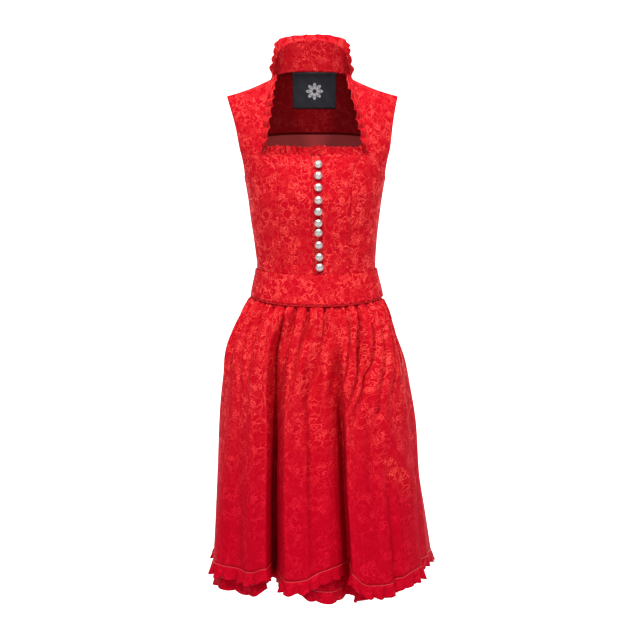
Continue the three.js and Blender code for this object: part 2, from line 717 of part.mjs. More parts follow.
// A strip of waves below a hem. In a deep fold it has less room to flare.
function hemRuffle(hem, parts, size) {
  const perWave = columnsPerWave.hem;
  const feet = divided(hem, parts);
  const rows = [0, 1].map((share) => feet.map((foot, j) => {
    const room = 1 - 0.75 * smoothstep(shareInside(foot), 0.05, 0.2);
    const wave = Math.cos((j / perWave) * Math.PI * 2);
    const bulge = share * room * (size.flare + size.wave * wave);
    const point = foot.clone().addScaledVector(levelNormal(feet, j), bulge);
    if (j === 0) point.out = hem[0].out;
    if (j === feet.length - 1) point.out = hem[hem.length - 1].out;
    return point.setZ(foot.z - 2.2 * SEAM - share * size.height);
  }));
  return clothFromRows(rows, CLOTH);
}

const lastRow = (rows) => rows[rows.length - 1];

// Neck ruffles stand on the cloth's edge: each stop has the edge and a point inside the cloth.
// At a corner of the neckline a strip leans back, so that two strips meet in a mitre.
function neckRuffleAlong(stops, waveCount, mitred) {
  const perWave = columnsPerWave.neck;
  const edge = new THREE.CatmullRomCurve3(stops.map((stop) => stop.edge));
  const inside = new THREE.CatmullRomCurve3(stops.map((stop) => stop.inside));
  edge.arcLengthDivisions = 400;
  const length = edge.getLength();
  const shares = steps(waveCount * perWave);
  const rows = [1, 0].map((height) => shares.map((share, j) => {
    const t = edge.getUtoTmapping(share);
    const foot = edge.getPoint(t);
    const along = edge.getTangent(t);
    const away = foot.clone().sub(inside.getPoint(t));
    away.addScaledVector(along, -away.dot(along)).normalize();
    const outward = away.clone().cross(along);
    const leanBack = (distance) => Math.max(0, 1 - distance / (1.6 * neckRuffle.height));
    const lean = mitred.start * leanBack(share * length) - mitred.end * leanBack((1 - share) * length);
    const wave = Math.cos((j / perWave) * Math.PI * 2);
    return foot.addScaledVector(away, 2 * SEAM + height * neckRuffle.height)
      .addScaledVector(along, height * neckRuffle.height * lean)
      .addScaledVector(outward, height * (neckRuffle.flare + neckRuffle.wave * wave));
  }));
  return clothFromRows(rows.map((row) => row.reverse()), CLOTH);
}

// Along the front neckline, from one distance from the middle to another, always towards the left.
function frontNeckRuffle(from, to, mitred) {
  const z = CHEST - SEAM;
  const stops = steps(6).map((s) => {
    const angle = lerp(angleOfReach(from, z), angleOfReach(to, z), s);
    return { edge: torsoPoint(angle, z), inside: torsoPoint(angle, z - 12) };
  });
  return neckRuffleAlong(stops, waves.frontNeck, mitred);
}

// Up the left strap, round the collar's edge and down the right strap.
function collarRuffle() {
  const strap = (side) => [RUFFLE_START, ...shoulderSteps.slice(0, -1), 0.94].map((t) => ({
    edge: frontStrapPoint(0, t, side),
    inside: frontStrapPoint(0.15, t, side),
  }));
  const turns = [...collarTurns, ...collarTurns.slice(0, -1).reverse().map((turn) => -turn)];
  const round = turns.map((turn) => ({ edge: collarPoint(turn, 1), inside: collarPoint(turn * 0.9, 0.4) }));
  const stops = [...strap(-1), ...round.reverse(), ...strap(1).reverse()];
  return neckRuffleAlong(stops, waves.collar, { start: 1, end: 1 });
}

// Assembly

const dirndl = new THREE.Group();
const neckCorner = frontSeam[frontSeam.length - 1].reach - 2;

dirndl.add(
  piece('front_left', centreFront(-1, LEFT_FRONT_EDGE)),
  piece('front_right', centreFront(1, RIGHT_FRONT_EDGE)),
  piece('side_front_left', sideFront(-1)),
  piece('side_front_right', sideFront(1)),
  piece('back_centre', backCentre()),
  piece('back_side_left', backSide(-1)),
  piece('back_side_right', backSide(1)),
  piece('collar', collar()),
  piece('back_facing', backFacing()),
  piece('label', wovenLabel(), black),
  piece('button_stand', buttonStand()),
  piece('neck_ruffle_left', frontNeckRuffle(LEFT_FRONT_EDGE, -neckCorner, { start: 0, end: 1 })),
  piece('neck_ruffle_right', frontNeckRuffle(neckCorner, LEFT_FRONT_EDGE + 2, { start: 1, end: 0 })),
  piece('neck_ruffle_collar', collarRuffle()),
  piece('apron_band', apronBand()),
  piece('band_piping', bandPiping()),
  piece('apron', clothFromRows(apronRows(), CLOTH)),
  piece('apron_ruffle', hemRuffle(lastRow(apronRows()), ruffleParts.apron, outerRuffle)),
  piece('skirt_front', clothFromRows(skirtFrontRows(), CLOTH)),
  piece('skirt_back', clothFromRows(skirtBackRows(), CLOTH)),
  piece('skirt_ruffle_front', hemRuffle(lastRow(skirtFrontRows()), ruffleParts.skirtFront, innerRuffle)),
  piece('skirt_ruffle_back', hemRuffle(lastRow(skirtBackRows()), ruffleParts.skirtBack, outerRuffle)),
);
buttonHeights.forEach((z, i) => dirndl.add(button(`button_${String(i + 1).padStart(2, '0')}`, z)));

export default dirndl;
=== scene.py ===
# %% [markdown]
# A sleeveless dirndl in red jacquard, dressed piece by piece over the construction model.
# The construction gives every size. Here each cloth piece becomes a fine thin shell on the
# same form, with its gathers, creases and ruffles, and each finish is built from nodes.
# Sizes below are in millimetres, as a dressmaker writes them, and turn into metres at the end.

# %% Load the construction model
import math
import bpy
import numpy as np
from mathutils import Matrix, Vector


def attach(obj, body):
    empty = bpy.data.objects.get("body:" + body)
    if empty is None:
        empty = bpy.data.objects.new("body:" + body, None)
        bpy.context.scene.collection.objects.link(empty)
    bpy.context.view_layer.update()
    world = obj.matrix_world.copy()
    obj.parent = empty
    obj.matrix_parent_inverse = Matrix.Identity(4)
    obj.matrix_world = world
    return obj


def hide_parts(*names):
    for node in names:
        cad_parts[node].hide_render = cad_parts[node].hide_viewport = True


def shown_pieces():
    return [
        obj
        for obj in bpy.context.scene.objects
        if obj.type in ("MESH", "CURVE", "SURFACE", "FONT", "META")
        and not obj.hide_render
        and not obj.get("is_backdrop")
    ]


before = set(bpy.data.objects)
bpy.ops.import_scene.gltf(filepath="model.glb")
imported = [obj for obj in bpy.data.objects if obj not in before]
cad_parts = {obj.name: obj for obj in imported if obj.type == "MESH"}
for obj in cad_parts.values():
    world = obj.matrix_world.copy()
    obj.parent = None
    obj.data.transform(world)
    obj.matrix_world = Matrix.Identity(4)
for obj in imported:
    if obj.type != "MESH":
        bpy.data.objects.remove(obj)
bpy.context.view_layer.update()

MM = 0.001
CLOTH = 1.2
DOUBLED_CLOTH = 2.0
SEAM = 0.3

# %% [markdown]
# The dress is photographed straight from the front, from about three metres away and a little
# above its waist, on a white ground. A long lens at that distance keeps the same proportions.
# Two high lamps in front and a pale light from all round leave only gentle shading.

# %% Camera and lamps
CAMERA_PLACE = (0.011, -3.0, -0.253)
CAMERA_TILT = 5.03
CAMERA_LENS = 77.0
SENSOR_WIDTH = 36.0
ROOM_LIGHT = {"Color": (0.92, 0.9, 1, 1), "Strength": 0.36}
LAMPS = {"right lamp": ((0.8, -1.8, 2.0), 70), "left lamp": ((-1.0, -1.9, 1.9), 56)}
LAMP_SIZE = 0.4
LIT_PLACE = (0, 0, -0.2)
camera = bpy.data.objects.new("camera", bpy.data.cameras.new("camera"))
bpy.context.scene.collection.objects.link(camera)
camera.data.lens = CAMERA_LENS
camera.data.sensor_width = SENSOR_WIDTH
camera.location = CAMERA_PLACE
camera.rotation_euler = (math.radians(90 - CAMERA_TILT), 0, 0)
bpy.context.scene.camera = camera
bpy.context.scene.view_settings.view_transform = "Standard"

world = bpy.data.worlds.new("soft room light")
bpy.context.scene.world = world
world.use_nodes = True
for socket, value in ROOM_LIGHT.items():
    world.node_tree.nodes["Background"].inputs[socket].default_value = value


def deselect():
    for obj in bpy.context.selected_objects:
        obj.select_set(False)


def pick(*objects):
    """Selects these objects alone, and makes the first one active."""
    deselect()
    for obj in objects:
        obj.select_set(True)
    bpy.context.view_layer.objects.active = objects[0]


for name, (place, power) in LAMPS.items():
    deselect()
    bpy.ops.object.light_add(type="AREA", location=place)
    lamp = bpy.context.object
    lamp.name = name
    lamp.data.size = LAMP_SIZE
    lamp.data.energy = power
    lamp.rotation_euler = (Vector(LIT_PLACE) - Vector(place)).to_track_quat("-Z", "Y").to_euler()
print("lamps placed:", len(LAMPS))

# %% [markdown]
# Every finish is built from nodes. This helper adds them one at a time, and each input takes
# either a value or the output of another node.

# %% A helper for building finishes


class Finish:
    """Builds one material, a node at a time."""

    def __init__(self, name):
        self.material = bpy.data.materials.new(name)
        self.material.use_nodes = True
        self.tree = self.material.node_tree
        self.shader = self.tree.nodes["Principled BSDF"]

    def set(self, socket, value):
        if isinstance(value, bpy.types.NodeSocket):
            self.tree.links.new(value, socket)
        else:
            socket.default_value = value

    def node(self, kind, links=None, **settings):
        node = self.tree.nodes.new(kind)
        for key, value in settings.items():
            setattr(node, key, value)
        for socket, value in (links or {}).items():
            self.set(node.inputs[socket], value)
        return node

    def math(self, operation, *values, kind="ShaderNodeMath", **settings):
        node = self.node(kind, operation=operation, **settings)
        for i, value in enumerate(values):
            self.set(node.inputs[i], value)
        return node.outputs["Value" if kind == "ShaderNodeMath" or operation == "LENGTH" else "Vector"]

    def vector(self, operation, *values):
        return self.math(operation, *values, kind="ShaderNodeVectorMath")

    def times(self, value, factor):
        return self.math("MULTIPLY", value, factor)

    def scaled(self, value, factor, offset):
        return self.math("MULTIPLY_ADD", value, factor, offset)

    def split(self, vector):
        return self.node("ShaderNodeSeparateXYZ", {"Vector": vector}).outputs

    def turn(self, vector):
        """The direction of a vector seen from above, as an angle."""
        parts = self.split(vector)
        return self.math("ARCTAN2", parts["Y"], parts["X"])

    def line(self, distance, half_width, softness=0.6):
        """1 on a line where distance is 0, falling to 0 beyond its half width."""
        edge = self.math("DIVIDE", self.math("ABSOLUTE", distance), half_width)
        return self.math("SUBTRACT", 1 + softness / 2, edge, use_clamp=True)

    def ramp(self, value, low, high, bottom=0.0, top=1.0):
        """From bottom at low to top at high, smoothly."""
        limits = {"From Min": low, "From Max": high, "To Min": bottom, "To Max": top}
        return self.node("ShaderNodeMapRange", {"Value": value, **limits},
                         interpolation_type="SMOOTHSTEP").outputs["Result"]

    def colours(self, factor, first, second):
        ends = [(*colour, 1) if isinstance(colour, tuple) else colour for colour in (first, second)]
        return self.node("ShaderNodeMix", data_type="RGBA", links={
            "Factor": factor, "A": ends[0], "B": ends[1]}).outputs["Result"]

    def noise(self, place, scale, detail=2.0, dimensions="2D"):
        return self.node("ShaderNodeTexNoise", {"Vector": place, "Scale": scale, "Detail": detail},
                         noise_dimensions=dimensions).outputs

    def bands(self, place, scale, distortion, direction):
        return self.node("ShaderNodeTexWave", {"Vector": place, "Scale": scale, "Distortion": distortion},
                         wave_type="BANDS", bands_direction=direction).outputs["Fac"]

    def bump(self, height, distance, strength, over=None):
        links = {"Height": height, "Distance": distance, "Strength": strength}
        if over is not None:
            links["Normal"] = over
        return self.node("ShaderNodeBump", links).outputs["Normal"]

    def cloth(self):
        return self.node("ShaderNodeUVMap", uv_map="UVMap").outputs["UV"]

    def place(self):
        return self.node("ShaderNodeTexCoord").outputs["Object"]

    def surface(self, **values):
        """Sets the shader's inputs, whose words are joined by _ here, and gives the material."""
        for name, value in values.items():
            self.set(self.shader.inputs[name.replace("_", " ")], value)
        return self.material


# %% [markdown]
# The paper lies flat below the dress, then turns up in a wide bend into the wall behind. It
# glows more towards the wall, so that the ground of the picture is white and the floor is grey.

# %% White paper sweep behind the dress
FLOOR_Z, BACK_Y, BEND = -1.45, 4.2, 1.3
PAPER_SIDE, PAPER_TOP = 9.0, 5.0
PAPER_ROWS = 24
bend = [(BACK_Y - BEND + BEND * math.sin(a), FLOOR_Z + BEND - BEND * math.cos(a))
        for a in np.linspace(0, math.pi / 2, PAPER_ROWS - 1)]
side_view = [(-PAPER_SIDE, FLOOR_Z)] + bend + [(BACK_Y, PAPER_TOP)]
deselect()
bpy.ops.mesh.primitive_grid_add(x_subdivisions=1, y_subdivisions=PAPER_ROWS, size=1)
sweep = bpy.context.object
sweep.name = "paper_sweep"
for i, vertex in enumerate(sweep.data.vertices):
    vertex.co = (PAPER_SIDE if i % 2 else -PAPER_SIDE, *side_view[i // 2])
bpy.ops.object.shade_smooth()
sweep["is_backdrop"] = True

paper = Finish("white paper")
glow = paper.ramp(paper.split(paper.place())["Y"], 0.1, 0.7, 0.12, 0.95)
sweep.data.materials.append(paper.surface(
    Base_Color=(0.86, 0.86, 0.86, 1), Roughness=0.9, Emission_Color=(1, 1, 1, 1), Emission_Strength=glow))
print("paper sweep of", len(sweep.data.polygons), "faces")

# %% [markdown]
# The cut of the dress is in these tables. Each body ring has half its width and its depth to
# the front and back. Seams are given by how far they lie from the middle, and a curve runs
# smoothly through the rows of every table.

# %% Tables of the cut
SQUARENESS = 2.3
BODICE_HEM = -440.0
CHEST = -158.0
BACK_SEAM_TOP = -163.0
TORSO = {
    "z": [-500, -459, -405, -345, -297, -250, -205, -150],
    "half": [146, 139, 130, 134, 140, 146, 154, 169],
    "front": [112, 105, 99, 106, 116, 124, 120, 108],
    "back": [106, 100, 94, 97, 101, 105, 109, 111],
    "centre": [5, 4, 3, 1, 0, 0, 0, 0],
}
FRONT_SEAM = {
    "z": [-440, -345, -250, -205, -193, -183, -172, -161, CHEST],
    "reach": [70, 74.5, 78.5, 79.5, 81.5, 85, 91, 101.5, 113],
}
BACK_SEAM = {
    "z": [-440, -345, -250, -207, -193, -183, -173, BACK_SEAM_TOP],
    "reach": [46, 50, 66, 84, 98, 112, 131, 157],
}
ARMHOLE = {
    "z": [-207, -202, -193, -183, -173, -163, CHEST],
    "angle": [90, 80.5, 76, 73.5, 72.2, 71.4, 71],
}
NECK_POINT = (88.0, -2.0, 7.0)
SHOULDER_TIP = (186.0, 6.0, -29.0)
SHOULDER_SAG = 3.5
NECK_SHARE = 0.6
LEAN = -7.0
NECK_SEAM = {"turn": [0, 0.35, 0.7, 1], "x": [0, 45, 78, 88], "y": [72, 66, 40, -2],
             "z": [31, 29, 20, 7]}
COLLAR_EDGE = {
    "turn": [0, 0.25, 0.5, 0.7, 0.84, 0.93, 1],
    "x": [0, 33, 60, 75, 80, 83.5, 87],
    "y": [86, 82, 66, 44, 25, 9, -4],
    "z": [99, 97, 86, 70, 52, 33, 10],
}


def size_at(table, at, column, key="z"):
    """One column of a table, read with a smooth curve through its rows."""
    keys, values = np.array(table[key], float), np.array(table[column], float)
    last = len(keys) - 1
    low, high = np.maximum(np.arange(last + 1) - 1, 0), np.minimum(np.arange(last + 1) + 1, last)
    slopes = (values[high] - values[low]) / (keys[high] - keys[low])
    at = np.clip(np.asarray(at, float), keys[0], keys[-1])
    i = np.clip(np.searchsorted(keys, at, side="right") - 1, 0, last - 1)
    span = keys[i + 1] - keys[i]
    t = (at - keys[i]) / span
    ease = t * t * (3 - 2 * t)
    bend = t * (1 - t) * ((1 - t) * slopes[i] - t * slopes[i + 1]) * span
    return values[i] * (1 - ease) + values[i + 1] * ease + bend


def mix(a, b, share):
    return a + (b - a) * share


def ease_between(value, low, high):
    t = np.clip((np.asarray(value, float) - low) / (high - low), 0, 1)
    return t * t * (3 - 2 * t)


def ring_point(angle, half, front, back, centre, z):
    """Points of a rounded ring. Angle 0 is the middle of the front and 90 the right side."""
    across, along = np.sin(np.radians(angle)), np.cos(np.radians(angle))
    rounded = lambda value: np.sign(value) * np.abs(value) ** (2 / SQUARENESS)
    depth = np.where(along > 0, front, back)
    return np.stack(np.broadcast_arrays(centre + half * rounded(across), -depth * rounded(along), z), -1)


def torso_point(angle, z, outset=0.0):
    half, front, back = (size_at(TORSO, z, column) + outset for column in ("half", "front", "back"))
    return ring_point(angle, half, front, back, size_at(TORSO, z, "centre"), np.asarray(z, float))


def angle_of_reach(reach, z):
    share = np.abs(reach) / size_at(TORSO, z, "half")
    return np.degrees(np.arcsin(np.minimum(share, 1) ** (SQUARENESS / 2))) * np.sign(reach)


def armhole_angle(z):
    return np.where(np.asarray(z) <= ARMHOLE["z"][0], 90, size_at(ARMHOLE, z, "angle"))


SEAM_ANGLE = math.degrees(SEAM / 2 / 120)
print("waist ring:", TORSO["half"][2] * 2, "mm wide")

# %% [markdown]
# Cloth is laid in rows of points, from the lowest row up, each running to the right round the
# body. A flat grid is put in place point by point, and Solidify gives it its thickness. The flat
# lengths along it become its UV map, in metres, so that the woven pattern follows the grain.
# The back of the cloth may take another finish.


def outward(points):
    """The direction that each point of the rows faces."""
    right, up = np.gradient(points, axis=1), np.gradient(points, axis=0)
    normal = np.cross(right, up)
    return normal / np.maximum(np.linalg.norm(normal, axis=2, keepdims=True), 1e-9)


def lengths_along(points, axis):
    step = np.linalg.norm(np.diff(points, axis=axis), axis=2)
    pad = [(1, 0), (0, 0)] if axis == 0 else [(0, 0), (1, 0)]
    return np.pad(np.cumsum(step, axis=axis), pad)


def flat_map(points, straight_cut):
    """UV in metres. A straight cut has one width all the way up, as a gathered panel has."""
    across, up = lengths_along(points, 1), lengths_along(points, 0)
    if straight_cut:
        wide = across[np.argmax(across[:, -1])]
        return np.stack(np.broadcast_arrays(wide, up.mean(axis=1, keepdims=True)), -1) * MM
    return np.stack([across - across[:, -1:] / 2, up], -1) * MM


def grid_object(name, points):
    rows, columns = points.shape[0] - 1, points.shape[1] - 1
    deselect()
    bpy.ops.mesh.primitive_grid_add(x_subdivisions=columns, y_subdivisions=rows, size=1)
    obj = bpy.context.object
    obj.name = name
    obj.data.name = name
    obj.data.vertices.foreach_set("co", (points * MM).reshape(-1))
    return obj


def lay_cloth(name, points, finishes, node, held="stretched", wall=CLOTH, straight_cut=False, grain=(0, 0)):
    """A cloth piece from rows of points, given its finish, and set in place of its solid."""
    obj = grid_object(name, points)
    uv = flat_map(points, straight_cut)
    loops = np.empty(len(obj.data.loops), int)
    obj.data.loops.foreach_get("vertex_index", loops)
    obj.data.uv_layers[0].data.foreach_set("uv", (uv.reshape(-1, 2)[loops] + np.array(grain)).reshape(-1))
    for finish in finishes:
        obj.data.materials.append(finish)
    bpy.ops.object.modifier_add(type="SOLIDIFY")
    solidify = obj.modifiers[-1]
    solidify.thickness = wall * MM
    solidify.offset = -1
    solidify.material_offset = len(finishes) - 1
    bpy.ops.object.modifier_apply(modifier=solidify.name)
    bpy.ops.object.shade_smooth()
    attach(obj, "root")
    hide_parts(node)


def even(count, crowded=0.0):
    """Numbers from 0 to 1. When crowded they draw closer together towards both ends."""
    s = np.linspace(0, 1, count + 1)
    return mix(s, 0.5 - 0.5 * np.cos(np.pi * s), crowded)


def press_seams(points, left=0.0, right=0.0, top=0.0, bottom=0.0, reach=2.6):
    """Draws the cloth in beside a seam, by a depth in millimetres at each side that has one."""
    across, up = lengths_along(points, 1), lengths_along(points, 0)
    groove = lambda distance, depth: depth * np.exp(-((distance / reach) ** 1.5))
    depth = groove(across, left) + groove(across[:, -1:] - across, right)
    depth += groove(up, bottom) + groove(up[-1:] - up, top)
    return points - outward(points) * depth[..., None]


# %% [markdown]
# The jacquard is woven in one red: small blossoms, curls and stems stand out only because their
# threads lie longer on the surface, so they are lighter and shine more. Blossoms and curls sit
# in the cells of a Voronoi pattern, each drawn from its own centre by distance and angle. The
# stems run along the edges of such cells. A soft noise lets the drawing fade in patches.

# %% The woven pattern: blossoms, curls and stems


def in_cells(finish, cloth, pitch, seed, loose=0.7):
    """How far each place is from the middle of its cell, in what direction, and three random numbers."""
    place = finish.vector("ADD", cloth, (seed, seed * 0.7, 0.0))
    cells = finish.node("ShaderNodeTexVoronoi", {"Vector": place, "Scale": 1 / pitch, "Randomness": loose},
                        voronoi_dimensions="2D")
    own = finish.vector("SUBTRACT", place, cells.outputs["Position"])
    chance = finish.node("ShaderNodeSeparateColor", {"Color": cells.outputs["Color"]}).outputs
    return finish.vector("LENGTH", own), finish.turn(own), [chance[c] for c in ("Red", "Green", "Blue")]


def blossoms(finish, cloth, pitch, petals, radius, stroke, seed):
    """Flowers drawn as a line round their petals, a second line inside, and a dot. Sizes in metres."""
    reach, turn, (first, second, _) = in_cells(finish, cloth, pitch, seed)
    wave = finish.math("COSINE", finish.scaled(turn, petals / 2, finish.times(first, 6.28)))
    lobes = finish.scaled(finish.math("ABSOLUTE", wave), 0.4, 0.6)
    size = finish.times(lobes, finish.scaled(second, 0.5, 0.7))
    drawn = finish.line(reach, stroke * 0.9)
    for share, width in ((1, 1), (0.48, 0.7)):
        outline = finish.line(finish.scaled(size, -radius * share, reach), stroke * width)
        drawn = finish.math("MAXIMUM", outline, drawn)
    return drawn


def scrolls(finish, cloth, pitch, arm, radius, stroke, seed):
    """Curled tendrils: each cell holds a short spiral that turns either way and fades at its end."""
    reach, turn, (first, second, third) = in_cells(finish, cloth, pitch, seed, 0.9)
    hand = finish.scaled(finish.math("GREATER_THAN", first, 0.5), 2.0, -1.0)
    phase = finish.scaled(reach, 1 / arm, finish.times(finish.times(turn, 1 / 6.2832), hand))
    coil = finish.math("SUBTRACT", finish.math("FRACT", finish.math("ADD", phase, second)), 0.5)
    drawn = finish.line(finish.times(coil, arm), stroke)
    limit = finish.scaled(third, 0.5 * radius, 0.55 * radius)
    return finish.times(drawn, finish.ramp(finish.math("SUBTRACT", limit, reach), 0.0, 0.0016))


def stems(finish, cloth, pitch, stroke, seed):
    """Thin stems of even width that wind from cell to cell."""
    place = finish.vector("ADD", cloth, (seed * 1.3, seed, 0.0))
    cells = finish.node("ShaderNodeTexVoronoi", {"Vector": place, "Scale": 1 / pitch, "Randomness": 1.0},
                        voronoi_dimensions="2D", feature="DISTANCE_TO_EDGE")
    return finish.line(cells.outputs["Distance"], stroke / pitch)


def woven_pattern(finish, cloth):
    ripple = finish.noise(cloth, 75.0, 0.5)["Color"]
    drift = finish.vector("SCALE", finish.vector("SUBTRACT", ripple, (0.5, 0.5, 0.5)))
    drift.node.inputs["Scale"].default_value = 0.0125
    bent = finish.vector("ADD", cloth, drift)
    drawn = blossoms(finish, bent, pitch=0.034, petals=5, radius=0.0078, stroke=0.0008, seed=3.1)
    for layer in (
        scrolls(finish, bent, pitch=0.0165, arm=0.0042, radius=0.0078, stroke=0.0007, seed=5.3),
        scrolls(finish, bent, pitch=0.0115, arm=0.0034, radius=0.0050, stroke=0.0006, seed=9.4),
        stems(finish, bent, pitch=0.0150, stroke=0.0005, seed=1.9),
    ):
        drawn = finish.math("MAXIMUM", drawn, layer)
    strength = finish.ramp(finish.noise(cloth, 30.0, 1.0)["Fac"], 0.38, 0.60)
    return finish.times(drawn, finish.scaled(strength, 0.7, 0.3))


# %% The jacquard in its three depths of shade
# Painted shade: below the hips both tones darken towards the hem and the pattern fades.
HEM_LIGHT, WAIST_LIGHT = -0.98, -0.55
# The lit crease: a painted highlight on the ridge low on the right of the apron.
LIT_CREASE = {"Location": (0.170, -0.16, -0.825), "Rotation": (0, -0.65, 0), "Scale": (0.032, 0.20, 0.085)}
# How much of each colour channel the two tones keep at the hem, as painted shade.
HEM_PAINTED_SHADE = {"ground": (0.90, 0.15, 1.0), "raised": (1.0, 0.2, 0.7)}
DARK_THREADS = (0.72, 0.72, 0.72)


def painted_light_shares(finish):
    """How much painted light each place gets: 1 from the hips up, falling to 0 at the hem.

    The raised crease low on the right of the apron keeps full painted light too, as a painted highlight."""
    place = finish.place()
    high = finish.ramp(finish.split(place)["Z"], HEM_LIGHT, WAIST_LIGHT)
    crease = finish.node("ShaderNodeMapping", {"Vector": place, **LIT_CREASE}, vector_type="TEXTURE")
    distance = finish.vector("LENGTH", crease.outputs["Vector"])
    return finish.math("MAXIMUM", high, finish.ramp(distance, 1.2, 0.2))


def tinted(colour, shares):
    return tuple(c * share for c, share in zip(colour, shares))


def jacquard(name, ground, raised):
    """The red cloth: two tones, a satin gloss on the raised threads, a fine weave, and painted shade
    towards the hem.
    """
    finish = Finish(name)
    cloth = finish.cloth()
    light = painted_light_shares(finish)
    # The pattern fades towards the hem as painted shade.
    pattern = finish.times(woven_pattern(finish, cloth), finish.scaled(light, 0.6, 0.4))
    mottle = finish.times(finish.noise(cloth, 420.0)["Fac"], 0.5)
    # Both tones darken towards the hem as painted shade; the mottle is the cloth's own uneven tone.
    ground_with_painted_shade = finish.colours(light, tinted(ground, HEM_PAINTED_SHADE["ground"]), ground)
    ground_with_painted_shade = finish.colours(mottle, ground_with_painted_shade, tinted(ground, DARK_THREADS))
    lit = finish.colours(light, tinted(raised, HEM_PAINTED_SHADE["raised"]), raised)
    weave = finish.bands(cloth, 900.0, 0.4, "DIAGONAL")
    return finish.surface(
        Base_Color=finish.colours(pattern, ground_with_painted_shade, lit), Roughness=finish.scaled(pattern, -0.18, 0.56),
        Metallic=finish.times(pattern, 0.2), Specular_IOR_Level=0.01,
        Normal=finish.bump(weave, 0.0001, 0.35, over=finish.bump(pattern, 0.0004, 0.7)))


red = jacquard("red jacquard", (0.54, 0.004, 0.013), (0.98, 0.075, 0.065))
# A darker copy of the jacquard for the collar's inner side, as painted shade.
red_collar_inside_painted_shade = jacquard("red jacquard, painted shade inside the collar", (0.36, 0.003, 0.009), (0.60, 0.04, 0.035))
# A much darker copy for the facing's inner side, as painted shade deep inside the back.
red_facing_painted_shade = jacquard("red jacquard, facing in the shade", (0.17, 0.002, 0.004), (0.27, 0.012, 0.014))
print("jacquard nodes:", len(red.node_tree.nodes))

# %% [markdown]
# The other finishes are a dull lining that shows below the facing inside the back, black satin
# for the woven label, darkened silver for the buttons, and the thread of the stitching.

# %% Lining, satin, silver and thread


def plain_lining():
    finish = Finish("dark lining")
    grain = finish.noise(finish.cloth(), 900.0, 1.0)["Fac"]
    return finish.surface(
        Base_Color=finish.colours(grain, (0.235, 0.007, 0.008), (0.25, 0.009, 0.010)),
        Roughness=0.75, Normal=finish.bump(grain, 0.0001, 0.4))


def label_satin():
    """Black satin with one simple eight-petalled flower."""
    finish = Finish("black label satin")
    cloth = finish.cloth()
    centre = finish.vector("SUBTRACT", cloth, (0.0, 0.039, 0.0))
    reach = finish.vector("LENGTH", centre)
    lobes = finish.math("ABSOLUTE", finish.math("COSINE", finish.times(finish.turn(centre), 4.0)))
    edge = finish.scaled(lobes, 0.010, 0.009)
    petals = finish.math("LESS_THAN", reach, edge)
    heart = finish.math("LESS_THAN", reach, 0.0048)
    veins = finish.line(finish.math("SUBTRACT", reach, finish.times(edge, 0.72)), 0.0009)
    flower = finish.math("SUBTRACT", petals, finish.math("MAXIMUM", heart, veins), use_clamp=True)
    return finish.surface(
        Base_Color=finish.colours(flower, (0.010, 0.012, 0.017), (0.42, 0.42, 0.43)),
        Roughness=finish.scaled(flower, 0.25, 0.36),
        Normal=finish.bump(finish.bands(cloth, 700.0, 0.0, "Y"), 0.00008, 0.3))


def old_silver():
    finish = Finish("old silver")
    stains = finish.noise(finish.place(), 420.0, 3.0, "3D")["Fac"]
    dark = finish.ramp(finish.node("ShaderNodeNewGeometry").outputs["Pointiness"], 0.51, 0.46)
    worn = finish.math("MULTIPLY", dark, finish.scaled(stains, 0.6, 0.5), use_clamp=True)
    return finish.surface(
        Base_Color=finish.colours(worn, (0.66, 0.65, 0.62), (0.16, 0.15, 0.14)),
        Metallic=0.85, Roughness=finish.scaled(stains, 0.25, 0.24))


def sewing_thread():
    finish = Finish("red thread")
    twist = finish.noise(finish.place(), 700.0, dimensions="3D")["Fac"]
    return finish.surface(
        Base_Color=finish.colours(twist, (0.60, 0.012, 0.02), (0.78, 0.07, 0.07)), Roughness=0.5)


lining, satin, silver, thread = plain_lining(), label_satin(), old_silver(), sewing_thread()

# %% [markdown]
# The bodice is cut in panels: two at the middle of the front, two side fronts that carry the
# shoulder straps, one wide back and two small side backs. Above the chest their rows of points
# curve over to the shoulder and neck. Beside a seam the cloth is drawn in, as pressing does.

# %% Paths over the shoulders


def lean_at(z):
    return LEAN * ease_between(z, CHEST, NECK_POINT[2] + 10)


def over_shoulder(start, rise, end, t):
    """From the chest or back over to the shoulder or neck, as t runs from 0 to 1."""
    lift = np.sin(t * np.pi / 2)
    rest = np.maximum(np.cos(t * np.pi / 2), 0) ** 1.4
    z = mix(start[..., 2], end[..., 2], lift)
    climb = z - start[..., 2]
    x = mix(start[..., 0], end[..., 0], lift ** 1.3) + lean_at(z) + rise[..., 0] * climb * (1 - lift) ** 5
    y = mix(end[..., 1], start[..., 1], rest) + rise[..., 1] * climb * (1 - lift) ** 2
    return np.stack([x, y, z], -1)


def rise_at(angle, z):
    """How the body's surface moves for each millimetre upwards."""
    return (torso_point(angle, z) - torso_point(angle, z - 6)) / 6


def shoulder_point(share, side, gap):
    x, y, z = (mix(NECK_POINT[i], SHOULDER_TIP[i], share) for i in range(3))
    return np.stack([x * side, y + gap, z - SHOULDER_SAG * 4 * share * (1 - share)], -1)


def by_turn(table, turn):
    x, y, z = (size_at(table, np.abs(turn), column, "turn") for column in "xyz")
    return np.stack([x * np.sign(turn), y, z], -1)


def grid_of(rows, columns):
    return np.meshgrid(rows, columns, indexing="ij")


def run(low, high, step):
    return np.linspace(low, high, max(2, round(abs(high - low) / step) + 1))


def joined(*runs):
    return np.concatenate([runs[0]] + [run_of[1:] for run_of in runs[1:]])


body_levels = joined(run(BODICE_HEM, -207, 3.2), run(-207, -200, 0.7), run(-200, CHEST, 2.2))


# %% [markdown]
# A worn bodice isn't smooth. The cloth pulls towards the buttons, and bends at the waist.
# Each crease in this table is a soft ridge or hollow along a line, found in the photograph.
# The sizes are the two ends (x, z), the half width and the height, which is negative inwards.

